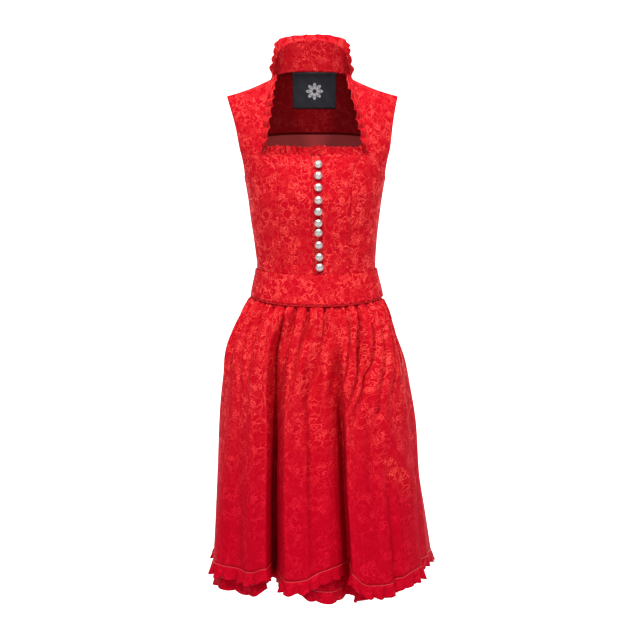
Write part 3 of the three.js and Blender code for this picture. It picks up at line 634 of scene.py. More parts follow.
# %% Soft creases in the cloth
BODICE_CREASES = [
    (-128, -335, -92, -392, 9, -1.6),
    (-122, -318, -100, -372, 6, 1.2),
    (-86, -300, -30, -286, 9, 0.9),
    (-74, -372, -18, -352, 8, 1.0),
    (-66, -398, -20, -384, 6, -0.9),
    (24, -205, 74, -190, 9, 0.9),
    (22, -232, 70, -240, 8, -0.8),
    (24, -330, 78, -316, 9, 1.0),
    (22, -372, 64, -356, 7, -0.9),
    (86, -250, 140, -222, 10, 1.2),
    (84, -330, 128, -300, 9, -1.2),
    (92, -372, 126, -350, 6, 1.1),
    (-140, -250, -100, -225, 9, -1.1),
    (-96, -180, -60, -168, 8, 0.8),
]


def crease(points, table):
    """Raises creases on the front of the dress, and leaves its sides and back alone."""
    x, y, z = points[..., 0], points[..., 1], points[..., 2]
    height = np.zeros_like(x)
    for x0, z0, x1, z1, width, rise in table:
        length = math.hypot(x1 - x0, z1 - z0)
        along = ((x - x0) * (x1 - x0) + (z - z0) * (z1 - z0)) / length
        away = ((x - x0) * (z1 - z0) - (z - z0) * (x1 - x0)) / length
        past = np.maximum(np.abs(along / length - 0.5) - 0.3, 0) / 0.3
        height += rise * np.exp(-((away / width) ** 2) - past ** 2 * 2)
    return points + outward(points) * (height * ease_between(-y, -10, 25))[..., None]


# %% The bodice panels
LAP = {"angle": 1.4, "depth": 1.5}
LAP_HEIGHTS = (-215, -205)


def centre_front(side, inner_edge):
    z, s = grid_of(body_levels - (body_levels == CHEST) * SEAM, even(30, 0.4))
    inner = angle_of_reach(inner_edge, z) * side
    outer = angle_of_reach(size_at(FRONT_SEAM, z, "reach"), z) - SEAM_ANGLE
    points = torso_point(mix(inner, outer, s) * side, z)
    return points if side > 0 else points[:, ::-1]


def side_front_angle(s, z, side):
    inner = angle_of_reach(size_at(FRONT_SEAM, z, "reach"), z) + SEAM_ANGLE
    outer = armhole_angle(z) - np.where(z <= ARMHOLE["z"][0], SEAM_ANGLE, 0)
    return mix(inner, outer, s) * side


def front_strap(s, t, side):
    angle = side_front_angle(s, np.full_like(s, CHEST), side)
    end = shoulder_point(s, side, -SEAM / 2)
    return over_shoulder(torso_point(angle, CHEST), rise_at(angle, CHEST), end, t)


def side_front(side):
    z, s = grid_of(body_levels, even(34, 0.4))
    body = torso_point(side_front_angle(s, z, side), z)
    t, s = grid_of(even(66)[1:], even(34, 0.4))
    points = np.concatenate([body, front_strap(s, t, side)])
    return points if side > 0 else points[:, ::-1]


def back_angle(share, z):
    seam = angle_of_reach(size_at(BACK_SEAM, z, "reach"), z) - SEAM_ANGLE
    return 180 - share * np.where(z > BACK_SEAM_TOP, armhole_angle(z), seam)


def back_top(share):
    across, side = np.abs(share), np.where(share < 0, -1, 1)
    seam = by_turn(NECK_SEAM, share / NECK_SHARE) + np.array([0, SEAM / 2, 0])
    shoulder = shoulder_point(np.maximum(across - NECK_SHARE, 0) / (1 - NECK_SHARE), side, SEAM / 2)
    return np.where((across >= NECK_SHARE)[..., None], shoulder, seam)


def back_yoke(share, t):
    angle = back_angle(share, np.full_like(share, CHEST))
    return over_shoulder(torso_point(angle, CHEST), rise_at(angle, CHEST), back_top(share), t)


def back_centre():
    shares = -joined(even(12) * (1 - NECK_SHARE) - 1, even(40) * 2 * NECK_SHARE - NECK_SHARE,
                     even(12) * (1 - NECK_SHARE) + NECK_SHARE)
    z, share = grid_of(body_levels, shares)
    body = torso_point(back_angle(share, z), z)
    t, share = grid_of(even(60)[1:], shares)
    return np.concatenate([body, back_yoke(share, t)])


def back_side(side):
    """A side back. Near the armhole its edge is lapped under the wide back and tucked inwards."""
    levels = joined(run(BODICE_HEM, -207, 4), run(-207, BACK_SEAM_TOP + 4, 2))
    z, s = grid_of(levels, even(20, 0.3))
    seam = 180 - angle_of_reach(size_at(BACK_SEAM, z, "reach"), z) + SEAM_ANGLE
    side_seam = np.where(z <= ARMHOLE["z"][0], 90 + SEAM_ANGLE, 180 - armhole_angle(z))
    lap = ease_between(z, *LAP_HEIGHTS)
    tuck = LAP["depth"] * np.maximum(ease_between(z, BACK_SEAM_TOP - 3, BACK_SEAM_TOP + 1),
                                     lap * ease_between(s, 0.86, 0.96))
    points = torso_point(mix(side_seam, seam + mix(-2 * SEAM_ANGLE, LAP["angle"], lap), s) * side, z, -tuck)
    return points if side > 0 else points[:, ::-1]


LEFT_FRONT_EDGE = -7.0
RIGHT_FRONT_EDGE = 14.0
PANEL = {"finishes": [red, lining]}
front_left = press_seams(centre_front(-1, LEFT_FRONT_EDGE), left=1.5)
front_right = press_seams(centre_front(1, RIGHT_FRONT_EDGE), right=1.5)
lay_cloth("panel_front_left", crease(front_left, BODICE_CREASES), node="front_left", **PANEL)
lay_cloth("panel_front_right", crease(front_right, BODICE_CREASES), node="front_right",
          grain=(0.31, 0.17), **PANEL)
for side, word in ((-1, "left"), (1, "right")):
    edges = {"left": 0.7, "right": 1.5} if side < 0 else {"left": 1.5, "right": 0.7}
    points = crease(press_seams(side_front(side), **edges), BODICE_CREASES)
    lay_cloth(f"panel_side_front_{word}", points, node=f"side_front_{word}",
              grain=(0.7 + side * 0.2, 0.4), **PANEL)
    points = press_seams(back_side(side), left=0.8, right=0.8)
    lay_cloth(f"panel_side_back_{word}", points, node=f"back_side_{word}",
              grain=(1.4 + side * 0.2, 0.1), **PANEL)
lay_cloth("panel_back", press_seams(back_centre(), left=0.7, right=0.7, top=0.6),
          node="back_centre", grain=(2.1, 0.0), **PANEL)

# %% [markdown]
# A standing collar runs round the back of the neck, of cloth taken double. Inside it a facing
# of the same jacquard lies against the upper back, and the woven label is sewn on the facing.
# The label is plain satin with one simple flower.

# %% Collar, facing and label
COLLAR_FOOT = -0.04
FACING, FACING_GAP, LABEL_GAP = 1.0, 0.8, 1.4
FACING_START = 0.18
LABEL = {"left": -50, "right": 47, "bottom": -50, "top": 28, "cloth": 0.7}


def collar_point(turn, height):
    foot = by_turn(NECK_SEAM, turn) + np.array([0, 0, SEAM])
    point = mix(foot, by_turn(COLLAR_EDGE, turn), np.asarray(height)[..., None])
    return point + np.stack([lean_at(point[..., 2]), point[..., 0] * 0, point[..., 0] * 0], -1)


height, turn = grid_of(COLLAR_FOOT + (1 - COLLAR_FOOT) * even(18), 1 - 2 * even(96, 0.5))
collar = press_seams(collar_point(turn, height), bottom=0.5)
# The collar's inner side takes the darker copy of the jacquard: painted shade.
lay_cloth("standing_collar", collar, [red, red_collar_inside_painted_shade], wall=DOUBLED_CLOTH, node="collar",
          grain=(0.2, 1.1))

t, share = grid_of(FACING_START + (1 - FACING_START) * even(40), NECK_SHARE - 2 * NECK_SHARE * even(48))
yoke = back_yoke(share, t)
facing = yoke - outward(yoke) * (CLOTH + FACING_GAP)
# The facing's inner side takes the darkest copy of the jacquard: painted shade.
lay_cloth("neck_facing", facing, [red, red_facing_painted_shade], wall=FACING, node="back_facing",
          grain=(0.9, 2.0))


def on_rows(rows, x, z):
    """The point of a surface behind each x and z, seen from the front."""
    points = []
    for at in x:
        crossing = np.array([[np.interp(at, row[::-1, 0], row[::-1, k]) for k in (1, 2)] for row in rows])
        points.append([(at, np.interp(height, crossing[:, 1], crossing[:, 0]), height) for height in z])
    return np.array(points).swapaxes(0, 1)


inside = yoke - outward(yoke) * (CLOTH + FACING + LABEL_GAP)
label = on_rows(inside, np.linspace(LABEL["right"], LABEL["left"], 33),
                np.linspace(LABEL["bottom"], LABEL["top"], 27))
puckers = 0.5 * np.sin(label[..., 0] * 0.19 + label[..., 2] * 0.05) * np.sin(label[..., 2] * 0.11)
label[..., 1] += puckers
lay_cloth("woven_label", label, [satin], wall=LABEL["cloth"], node="label")

# %% [markdown]
# The front closes with ten domed buttons on a narrow strip. A button is made once, from a flat
# dome, two rings, a ring of small beads and a shank, and copied to each of its places. Old silver
# keeps dark stains in its hollows.

# %% Button strip and buttons
STAND_EDGES = (-14.0, 21.0)
BUTTON_X = 7.4
BUTTON_RADIUS = 8.4
DOME = {"radius": 0.93, "height": 4.4, "flat": 0.56}
BUTTON_RINGS = [(0.88, 0.95, 40, 8, 4.3), (0.46, 0.4, 32, 6, 8.5)]
BEADS = {"ring": 2.5, "radius": 0.85, "height": 8.75}
SHANK = {"radius": 2.0, "length": 4.4, "height": 1.6}
BUTTON_HEIGHTS = [-180, -203.5, -228, -254, -278, -302, -322, -348.5, -374, -396.5]

z, s = grid_of(body_levels[body_levels < CHEST - SEAM], even(14, 0.3))
stand_angles = mix(angle_of_reach(STAND_EDGES[0], z), angle_of_reach(STAND_EDGES[1], z), s)
stand = torso_point(stand_angles, z, -(CLOTH + 0.7))
lay_cloth("button_strip", stand, [red], node="button_stand", grain=(0.05, 0.9))


def in_edit_mode(*steps):
    """Runs steps on every point of the active object."""
    bpy.ops.object.mode_set(mode="EDIT")
    bpy.ops.mesh.select_all(action="SELECT")
    for step in steps:
        step()
    bpy.ops.object.mode_set(mode="OBJECT")


def make_button():
    """A button that faces +Z, with its shank's foot at the origin."""
    shapes = bpy.ops.mesh
    at_height = lambda height: (0, 0, height * MM)
    deselect()
    shapes.primitive_uv_sphere_add(segments=36, ring_count=18, radius=BUTTON_RADIUS * DOME["radius"] * MM,
                                   location=at_height(DOME["height"]))
    in_edit_mode(lambda: bpy.ops.transform.resize(value=(1, 1, DOME["flat"])))
    parts = [bpy.context.object]
    for radius, wire, around, across, height in BUTTON_RINGS:
        shapes.primitive_torus_add(major_radius=BUTTON_RADIUS * radius * MM, minor_radius=wire * MM,
                                   major_segments=around, minor_segments=across,
                                   location=at_height(height))
        parts.append(bpy.context.object)
    for turn in (i * math.pi / 4 for i in range(8)):
        place = Vector((math.cos(turn) * BEADS["ring"], math.sin(turn) * BEADS["ring"], BEADS["height"]))
        shapes.primitive_uv_sphere_add(segments=10, ring_count=6, radius=BEADS["radius"] * MM,
                                       location=place * MM)
        parts.append(bpy.context.object)
    shapes.primitive_cylinder_add(vertices=16, radius=SHANK["radius"] * MM, depth=SHANK["length"] * MM,
                                  location=at_height(SHANK["height"]))
    pick(*parts, bpy.context.object)
    bpy.ops.object.join()
    bpy.ops.object.transform_apply(location=True, rotation=True, scale=True)
    bpy.ops.object.shade_smooth()
    button = bpy.context.object
    button.data.materials.clear()
    button.data.materials.append(silver)
    return button


pattern_button = make_button()
for i, z in enumerate(BUTTON_HEIGHTS):
    name = f"button_{i + 1:02d}"
    pick(pattern_button)
    bpy.ops.object.duplicate(linked=False)
    button = bpy.context.object
    angle = angle_of_reach(BUTTON_X, z)
    foot = torso_point(angle, z, -(CLOTH + 0.5))
    across = torso_point(angle + 1, z) - torso_point(angle - 1, z)
    up = torso_point(angle, z + 4) - torso_point(angle, z - 4)
    facing_out = Vector(np.cross(across, up)).normalized()
    button.name = f"silver_{name}"
    button.data.name = button.name
    button.location = Vector(foot * MM) + facing_out * 0.5 * MM
    button.rotation_euler = facing_out.to_track_quat("Z", "Y").to_euler()
    bpy.ops.object.transform_apply(location=True, rotation=True, scale=True)
    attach(button, "root")
    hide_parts(name)
print("ten buttons of", len(pattern_button.data.polygons), "faces each")
bpy.data.objects.remove(pattern_button)

# %% [markdown]
# A ruffle is a strip gathered onto an edge. It stands up from the neckline in narrow flutes and
# leans outwards. The flutes grow from nothing at the stitching to their full depth at the free
# edge, and no two are quite alike. Where two strips meet at a corner they are mitred.

# %% Neck ruffles
NECK_RUFFLE = {"height": 16.0, "flare": 3.0, "foot": -1.6, "sunk": 0.5, "mitre_reach": 25.6}
COLLAR_FROM, COLLAR_SHARE = 8.0, 0.62
UNEVEN_HEIGHT, UNEVEN_DEPTH = 0.15, 0.5
FRONT_WAVES = {"waves": 9, "depth": 5.6}
COLLAR_WAVES = {"waves": 32, "depth": 4.4}
MITRE = 0.9
rng = np.random.default_rng(7)


def evenly(points, count):
    """The shares of a path's length at even steps, as positions along its list of points."""
    length = np.concatenate([[0], np.cumsum(np.linalg.norm(np.diff(points, axis=0), axis=1))])
    return np.interp(np.linspace(0, length[-1], count), length, np.arange(len(points))), length[-1]


def read_at(values, positions):
    index = np.arange(len(values))
    return np.stack([np.interp(positions, index, values[:, k]) for k in range(3)], -1)


def unit(vectors):
    return vectors / np.maximum(np.linalg.norm(vectors, axis=-1, keepdims=True), 1e-9)


def uneven(count, size):
    """A smooth random line with about one value for each wave."""
    knots = rng.uniform(-size, size, count + 3)
    return lambda share: np.interp(share * count, np.arange(count + 3), knots)


def fluted(share, waves, jitter=0.9):
    """Waves from -1 to 1 along a strip, no two quite alike."""
    shift = uneven(waves, jitter)(share)
    height = 1 + uneven(waves, UNEVEN_DEPTH)(share)
    crest = np.abs(np.cos(np.pi * share * waves + shift / 2)) ** 0.8
    return height * (2 * crest - 1)


def neck_ruffle(edge, inside, waves, depth, mitre_start, mitre_end, rows=10):
    positions, length = evenly(edge, waves * 16 + 1)
    share = np.linspace(0, 1, len(positions))
    foot = read_at(edge, positions)
    along = unit(np.gradient(foot, axis=0))
    away = foot - read_at(inside, positions)
    away = unit(away - along * (away * along).sum(1, keepdims=True))
    out = np.cross(along, away)
    near_end = lambda distance: np.maximum(0, 1 - distance / NECK_RUFFLE["mitre_reach"])
    lean = mitre_end * near_end((1 - share) * length) - mitre_start * near_end(share * length)
    wave = fluted(share, waves)
    tall = 1 + uneven(waves, UNEVEN_HEIGHT)(share)
    deep = depth * np.where(foot[:, 2] > COLLAR_FROM, COLLAR_SHARE, 1)
    strip = []
    for height in even(rows):
        rise = mix(NECK_RUFFLE["foot"], NECK_RUFFLE["height"] * tall, height)
        flare = NECK_RUFFLE["flare"] * height + wave * deep
        bulge = height ** 0.5 * flare - NECK_RUFFLE["sunk"]
        strip.append(foot + away * rise[:, None] - along * (height * NECK_RUFFLE["height"] * lean)[:, None]
                     + out * bulge[:, None])
    return np.array(strip)


neck_corner = FRONT_SEAM["reach"][-1]
edge_level = CHEST - SEAM


def front_ruffle(start, end, mitre_start, mitre_end):
    angles = np.linspace(*(float(angle_of_reach(at, edge_level)) for at in (start, end)), 160)
    edge, inside = torso_point(angles, edge_level), torso_point(angles, edge_level - 12)
    return neck_ruffle(edge, inside, **FRONT_WAVES, mitre_start=mitre_start, mitre_end=mitre_end)


def collar_ruffle():
    t = np.linspace(0.96, 0.0, 90)
    straps = {side: [front_strap(np.full_like(t, s), t, side) for s in (0, 0.15)] for side in (-1, 1)}
    turn = np.linspace(0.995, -0.995, 200)
    round_neck = [collar_point(turn, np.ones_like(turn)), collar_point(turn * 0.9, np.full_like(turn, 0.4))]
    edge, inside = (np.concatenate([straps[1][k][::-1], round_neck[k], straps[-1][k]]) for k in (0, 1))
    return neck_ruffle(edge, inside, **COLLAR_WAVES, mitre_start=MITRE, mitre_end=MITRE)


RUFFLE = {"finishes": [red], "held": "gathered"}
lay_cloth("ruffle_neck_left", front_ruffle(-neck_corner, LEFT_FRONT_EDGE, MITRE, 0),
          node="neck_ruffle_left", **RUFFLE)
lay_cloth("ruffle_neck_right", front_ruffle(LEFT_FRONT_EDGE + 2, neck_corner, 0, MITRE),
          node="neck_ruffle_right", grain=(0.4, 0.3), **RUFFLE)
lay_cloth("ruffle_collar", collar_ruffle(), node="neck_ruffle_collar", grain=(0.8, 0.6), **RUFFLE)

# %% [markdown]
# The apron's band goes right round the waist and dips a little in front. It is double cloth, so
# its edges are soft. Below it runs a piping, a thin cord wrapped in the same cloth: a strip of
# points bent round into a tube and welded along its length.

# %% Apron band and piping
BAND_TOP = {"side": -403.0, "dip": 10.0}
BAND_BOTTOM = {"side": -459.0, "dip": 17.0}
BAND_OUTSET = (6.4, 3.6)
BAND_SWELL, BAND_PULLS = 0.7, 0.35
PIPING_RADIUS = 1.6
PIPING_SUNK, PIPING_GAP = 1.2, 0.4


def dip_at(edge, angle):
    return edge["side"] - edge["dip"] * np.maximum(0, np.cos(np.radians(angle))) ** 1.5


def band():
    up, angle = grid_of(even(18), np.linspace(-179.9, 179.9, 241))
    z = mix(dip_at(BAND_BOTTOM, angle), dip_at(BAND_TOP, angle), up)
    swell = BAND_SWELL * np.sin(np.pi * up) ** 0.6
    pulls = BAND_PULLS * np.sin(angle * 0.55 + 2 * np.sin(angle * 0.09)) * np.sin(np.pi * up)
    return torso_point(angle, z, mix(BAND_OUTSET[0], BAND_OUTSET[1], up) + swell + pulls)


def cord_along(name, line, radius, finish, sides=10):
    """A round cord that follows a line of points."""
    along = unit(np.gradient(line, axis=0))
    side = unit(np.cross(along, np.array([0, 0, 1.0])))
    up = np.cross(side, along)
    turns = np.linspace(0, 2 * np.pi, sides + 1)
    tube = np.array([line + side * math.cos(a) * radius + up * math.sin(a) * radius for a in turns])
    obj = grid_object(name, tube)
    in_edit_mode(lambda: bpy.ops.mesh.remove_doubles(threshold=1e-5),
                 lambda: bpy.ops.mesh.normals_make_consistent(inside=False))
    bpy.ops.object.shade_smooth()
    obj.data.materials.append(finish)
    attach(obj, "root")
    return obj


around = np.linspace(0, 360, 361)
line = torso_point(around, dip_at(BAND_BOTTOM, around), BAND_OUTSET[0] - PIPING_SUNK)
line[:, 2] -= PIPING_RADIUS + PIPING_GAP
piping = cord_along("waist_piping", line, PIPING_RADIUS, red)
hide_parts("band_piping")
lay_cloth("waist_band", band(), [red], wall=DOUBLED_CLOTH, node="apron_band", grain=(0.6, 0.0))

# %% [markdown]
# The skirt and apron are straight panels gathered onto the waist. Each point hangs on a ring that
# widens downwards, and large folds, found in the photograph and listed here, pull the cloth
# inwards. The angle, two widths and three depths give each fold. Closely spaced gathers start
# at the band and die away at different heights, as the cloth opens out over the hips.

# %% How the skirt hangs
SKIRT_LENGTH_TO = -1066.0
SIDE_SEAM = 98.0
APRON_HEM = {
    "angle": [-98, -60, -45, -34, -25, -16, -6, 3, 11, 18, 25, 34, 42, 50, 62, 98],
    "z": [-1030, -1028, -1031, -1030, -1019, -1040, -1037, -1017, -1019, -1047, -1053, -1053, -1046,
          -1039, -1036, -1030],
}
SKIRT_HEM = {
    "angle": [-98, -75, -58, -42, -33, -25, -15, -8, 0, 10, 17, 25, 34, 42, 60, 80, 98, 130, 262],
    "z": [-1056, -1057, -1057, -1060, -1056, -1040, -1044, -1046, -1066, -1067, -1058, -1057, -1057,
          -1050, -1042, -1040, -1044, -1058, -1056],
}
SKIRT_RINGS = {
    "fall": [-0.05, 0, 0.057, 0.113, 0.169, 0.226, 0.312, 0.456, 0.649, 0.819, 1],
    "half": [140, 143, 160, 177, 191.5, 202, 210, 220.5, 227, 235, 243],
    "front": [108, 111, 132, 148, 160, 170, 182, 196, 212, 224, 233],
    "back": [102, 104.5, 126, 140, 152, 161, 172, 184, 198, 210, 219],
    "sway": [4, 4, 3, 1, -1, 0, 1.5, 5.5, 7, 11, 14.5],
}
RING_SIZES = ("half", "front", "back", "sway")
FOLD_HEIGHTS = [0.02, 0.14, 0.42, 1]
FOLD_ROUNDNESS = 1.4
FOLD_SPREAD = 2.5
FOLDS = [
    (-84, 12, 11, 8, 12, 16, 0),
    (-62, 14, 12, 0, 0, -14, 0),
    (-46, 8, 8, 7, 6, 10, 0),
    (-22, 3.4, 7, 40, 66, 88, -0.45),
    (-2.4, 2.2, 5, 18, 20, 6, -0.1),
    (9.8, 13, 3.2, 10, 30, 36, 0.34),
    (10.2, 5, 2.8, 12, 30, 38, 0.34),
    (28.5, 6, 4, 20, 9, 0, 0.1),
    (39, 4, 4, 0, 0, 12, 0),
    (76, 13, 12, 6, 12, 20, 0),
    (108, 17, 15, 0, 0, -22, 0),
    (130, 9, 8, 14, 38, 60, 0),
    (154, 8, 9, 10, 30, 44, 0),
    (179, 9, 8, 16, 44, 68, 0),
    (205, 8, 9, 10, 28, 46, 0),
    (230, 9, 8, 14, 38, 58, 0),
    (253, 7, 7, 8, 16, 26, 0),
]
GATHERS = {"fall": [0, 0.015, 0.05, 0.13, 0.36], "depth": [4.0, 10.0, 15.0, 12.0, 0]}
GATHER_WIDTHS, GATHER_SIZES, GATHER_LENGTHS = (1.7, 3.6), (0.5, 1.5), (0.45, 1.6)
GATHER_COUNT = 40
SET_IN = 1.4
SMALL_GATHERS = {"depth": 4.2, "reach": 0.06, "for_each_column": 0.93}
CREST_ROUNDNESS = 0.6
SIDE_COLUMNS = (0.2, 2.2)
HANGS_FREE = (0.04, 0.5)
SEAM_PULL = 0.05
UNDER_APRON = {"fall": [0, 0.2, 1], "gap": [2.4, 4, 8]}
OPEN_INSET = 3.4
FINE = 5
FRONT_COLUMNS = 52
BACK_COLUMNS = 44
APRON_FIRST, APRON_LAST = 1, 47
APRON_EDGES = (-95.0, 62.0)


def skirt_top(angle):
    return dip_at(BAND_BOTTOM, angle) - 2 * (PIPING_RADIUS + PIPING_GAP)


def fall_at(angle, z):
    return (skirt_top(angle) - z) / (skirt_top(angle) - SKIRT_LENGTH_TO)


def folds_at(angle, fall):
    """How far the folds pull the cloth inwards and aside. Near the waist they are wider."""
    spread = FOLD_SPREAD * (1 - ease_between(fall, 0.1, 0.45))
    inwards, aside = 0.0, 0.0
    for middle, left, right, hip, midway, hem, veer in FOLDS:
        away = (angle - middle + 540) % 360 - 180
        share = np.minimum(np.abs(away) / (spread + np.where(away < 0, left, right)), 1)
        heights = {"fall": FOLD_HEIGHTS, "depth": [0, hip, midway, hem]}
        rounded = np.maximum(np.cos(share * np.pi / 2), 0) ** FOLD_ROUNDNESS
        depth = size_at(heights, fall, "depth", "fall") * rounded
        inwards, aside = inwards + depth, aside + depth * veer
    return inwards, aside


def hanging_point(angle, z, inwards=0.0):
    angle, z = np.broadcast_arrays(np.asarray(angle, float), np.asarray(z, float))
    fall = fall_at(angle, z)
    half, front, back, sway = (size_at(SKIRT_RINGS, fall, column, "fall") for column in RING_SIZES)
    point = ring_point(angle, half, front, back, 0.0, z)
    out = unit(point * np.array([1, 1, 0]))
    pull, aside = folds_at(angle, fall)
    x = point[..., 0] - out[..., 0] * (pull + inwards) - out[..., 1] * aside
    y = point[..., 1] - out[..., 1] * (pull + inwards) + out[..., 0] * aside
    return np.stack([x + sway, y, z], -1)


def apron_hem_at(angle):
    return size_at(APRON_HEM, angle, "z", "angle")


def skirt_hem_at(angle):
    return size_at(SKIRT_HEM, angle, "z", "angle")


def even_angles(start, end, columns):
    """Angles that share out the hem's length evenly between two edges, FINE for each column."""
    fine = np.linspace(start, end, 1441)
    hem = hanging_point(fine, apron_hem_at(fine))
    length = np.concatenate([[0], np.cumsum(np.hypot(*np.diff(hem[:, :2], axis=0).T))])
    return np.interp(np.linspace(0, length[-1], columns * FINE + 1), length, fine)


# %% Columns of the skirt and its gathers


def columns_between(start, end, hem):
    """Column numbers with their angles at the waist and at the hem."""
    column = np.linspace(0, (len(hem) - 1) / FINE, len(hem))
    return column, mix(start, end, column / column[-1]), hem


def gather_wave(column, seed):
    """Gathers of uneven width: 1 on their round crests, -1 in the sharp hollows between them.

    With them go small gathers, and how large and how long each gather is."""
    random = np.random.default_rng(seed)
    widths = random.uniform(*GATHER_WIDTHS, GATHER_COUNT)
    numbers = np.arange(GATHER_COUNT)
    phase = np.interp(column, np.cumsum(widths) - 2 * widths[0], numbers)
    read = lambda limits: np.interp(phase, numbers, random.uniform(*limits, GATHER_COUNT))
    crest = 2 * np.abs(np.cos(np.pi * phase)) ** CREST_ROUNDNESS - 1
    turns = column * SMALL_GATHERS["for_each_column"]
    small = np.cos(2 * np.pi * turns + 1.5 * np.sin(column * 0.7))
    return crest, small, read(GATHER_SIZES), read(GATHER_LENGTHS)


def hanging_rows(columns, falls, seed, crests=1.0):
    """Rows of cloth with its gathers. Beside the side seams they die away, and crests can be 0."""
    column, top, hem = columns
    fall, column = grid_of(falls, column)
    angle = mix(top, hem, ease_between(fall, *HANGS_FREE))
    z = mix(skirt_top(angle), apron_hem_at(angle), fall)
    crest, small, size, length = gather_wave(column, seed)
    off_seam = ease_between(np.minimum(column, column.max() - column), *SIDE_COLUMNS)
    depth = size_at(GATHERS, fall / mix(1, length, off_seam), "depth", "fall")
    inwards = depth * (SET_IN - (1 + crest * size * off_seam) * crests)
    fine = SMALL_GATHERS["depth"] * np.exp(-((fall / SMALL_GATHERS["reach"]) ** 2))
    inwards = inwards - fine * small * off_seam * crests * ease_between(fall, 0.0, 0.01)
    return hanging_point(angle, z, inwards), angle


FRONT = columns_between(-SIDE_SEAM, SIDE_SEAM, joined(
    even_angles(-SIDE_SEAM, APRON_EDGES[0], APRON_FIRST),
    even_angles(*APRON_EDGES, APRON_LAST - APRON_FIRST),
    even_angles(APRON_EDGES[1], SIDE_SEAM, FRONT_COLUMNS - APRON_LAST)))
BACK_ANGLES = (SIDE_SEAM, 360 - SIDE_SEAM)
BACK = columns_between(*BACK_ANGLES, even_angles(*BACK_ANGLES, BACK_COLUMNS))
skirt_falls = joined(run(1, 0.3, 0.0135), run(0.3, 0.08, 0.009), run(0.08, 0, 0.0055))
print("skirt columns:", len(FRONT[0]), "front,", len(BACK[0]), "back; rows:", len(skirt_falls))

# %% [markdown]
# The apron lies over the front of the skirt. Both use the same columns. Under the apron the skirt
# hangs plain and further in, and only the deepest hollows of the apron still reach through it.
# Above, the skirt starts behind the band on the bodice, and below, it runs on to its own hem.

# %% Apron and skirt
APRON_CREASES = [
    (104, -640, 214, -896, 24, 10.0),
    (150, -640, 232, -800, 30, -3.0),
    (70, -560, 96, -700, 12, -2.5),
]


def apron_rows():
    points, _ = hanging_rows(FRONT, skirt_falls, 11)
    column = FRONT[0]
    apron = points[:, (column >= APRON_FIRST - 1e-6) & (column <= APRON_LAST + 1e-6)]
    return crease(apron, APRON_CREASES)


def skirt_rows(columns, seed, covered):
    rows, angles = hanging_rows(columns, skirt_falls, seed, 1 - covered)
    gap = mix(OPEN_INSET, size_at(UNDER_APRON, skirt_falls, "gap", "fall")[:, None], covered)
    hanging = rows - outward(rows) * gap[..., None]
    tucked = torso_point(columns[1], BODICE_HEM - SEAM, 1.0)
    tuck = [mix(hanging[-1], tucked, share) for share in (0.35, 0.7, 1)]
    last, angle = hanging[0], columns[2]
    grown = hanging_point(angle, skirt_hem_at(angle)) - hanging_point(angle, last[:, 2])
    below = [last + grown * share for share in (1, 0.8, 0.6, 0.4, 0.2)]
    return np.concatenate([below, hanging, tuck])


covered = ease_between(FRONT[0], 0, APRON_FIRST) * (1 - ease_between(FRONT[0], APRON_LAST, APRON_LAST + 1))
apron = apron_rows()
skirt_front = skirt_rows(FRONT, 11, covered)
skirt_back = skirt_rows(BACK, 12, BACK[0] * 0)
for front_edge, back_edge in ((-1, 0), (0, -1)):
    side_line = (skirt_front[:, front_edge] + skirt_back[:, back_edge]) / 2
    skirt_front[:, front_edge] = skirt_back[:, back_edge] = side_line
for rows in (skirt_front, skirt_back):
    for edge, beside in ((0, 1), (-1, -2)):
        rows[:, edge] += unit(rows[:, beside] - rows[:, edge]) * SEAM_PULL

HANGING = {"straight_cut": True, "held": "gathered"}
lay_cloth("apron_panel", apron, [red], node="apron", **HANGING)
lay_cloth("skirt_front_panel", skirt_front, [red], node="skirt_front", grain=(1.3, 0.7), **HANGING)
lay_cloth("skirt_back_panel", skirt_back, [red], node="skirt_back", grain=(2.9, 0.3), **HANGING)

# %% [markdown]
# The hems end in ruffles too. Each hangs from its hem's line, flares a little and waves. In
# the deep folds there is less room, so the waves close up. A stitched ridge runs along the top.

# %% Hem ruffles
HEM_RUFFLE = {"height": 25.0, "flare": 6.0, "wave": 5.4}
INNER_RUFFLE = {"height": 23.0, "flare": 2.5, "wave": 4.4}
STITCHING = {"out": 0.2, "below": 0.4, "radius": 0.6}
ROOM_LOST = 0.75
FOLD_DEPTHS = (0.05, 0.2)
SMALL_WAVES = {"for_each": 2.3, "jitter": 1.4, "depth": 0.8}


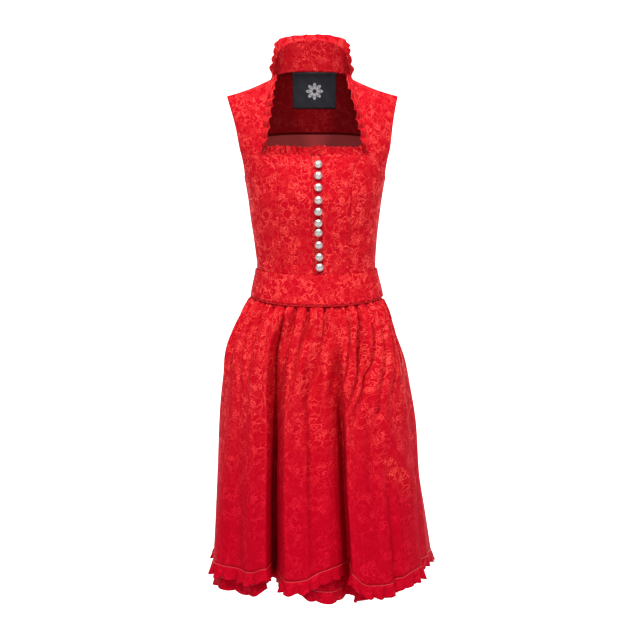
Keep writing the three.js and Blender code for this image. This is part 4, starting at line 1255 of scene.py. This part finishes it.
def share_inside(points):
    """How far points of the hem lie inside the lowest ring, as a share of the ring's size."""
    half, front, back, sway = (SKIRT_RINGS[column][-1] for column in RING_SIZES)
    across = np.abs(points[:, 0] - sway) / half
    along = np.abs(points[:, 1]) / np.where(points[:, 1] < 0, front, back)
    return 1 - (across ** SQUARENESS + along ** SQUARENESS) ** (1 / SQUARENESS)


def along_hem(hem, waves):
    """Points at even steps along a hem, and the level direction that the cloth faces there."""
    foot = read_at(hem, evenly(hem, waves * 12 + 1)[0])
    along = np.gradient(foot, axis=0)
    return foot, unit(np.stack([along[:, 1], -along[:, 0], along[:, 0] * 0], -1))


def hem_ruffle(hem, waves, size, rows=9):
    foot, out = along_hem(hem, waves)
    share = np.linspace(0, 1, len(foot))
    room = 1 - ROOM_LOST * ease_between(share_inside(foot), *FOLD_DEPTHS)
    wave = fluted(share, waves)
    small = fluted(share, round(waves * SMALL_WAVES["for_each"]), SMALL_WAVES["jitter"])
    small *= SMALL_WAVES["depth"]
    strip = []
    for height in even(rows):
        bulge = room * (size["flare"] * height + size["wave"] * wave * height ** 0.75)
        bulge += room * small * math.sin(math.pi * min(1, height * 1.6)) + 0.7 * (1 - height) ** 3
        drop = 0.9 + height * size["height"] * (1 + 0.06 * wave)
        point = foot + out * bulge[:, None]
        point[:, 2] = foot[:, 2] - drop
        strip.append(point)
    return np.array(strip)[::-1]


hems = [
    ("apron", apron[0], 34, HEM_RUFFLE, "apron_ruffle"),
    ("skirt_front", skirt_front[0], 24, INNER_RUFFLE, "skirt_ruffle_front"),
    ("skirt_back", skirt_back[0], 28, HEM_RUFFLE, "skirt_ruffle_back"),
]
for place, hem, waves, size, node in hems:
    foot, out = along_hem(hem, waves)
    cord_along(f"stitching_{place}", foot + out * STITCHING["out"] - (0, 0, STITCHING["below"]),
               STITCHING["radius"], thread, sides=8)
    lay_cloth(f"ruffle_{place}", hem_ruffle(hem, waves, size), node=node, grain=(0.5, 1.9), **RUFFLE)

# %% [markdown]
# Last, the faces of all the shown pieces are counted.

# %% Faces and the end
faces = sum(len(obj.data.polygons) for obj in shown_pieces())
print("faces in all:", faces)
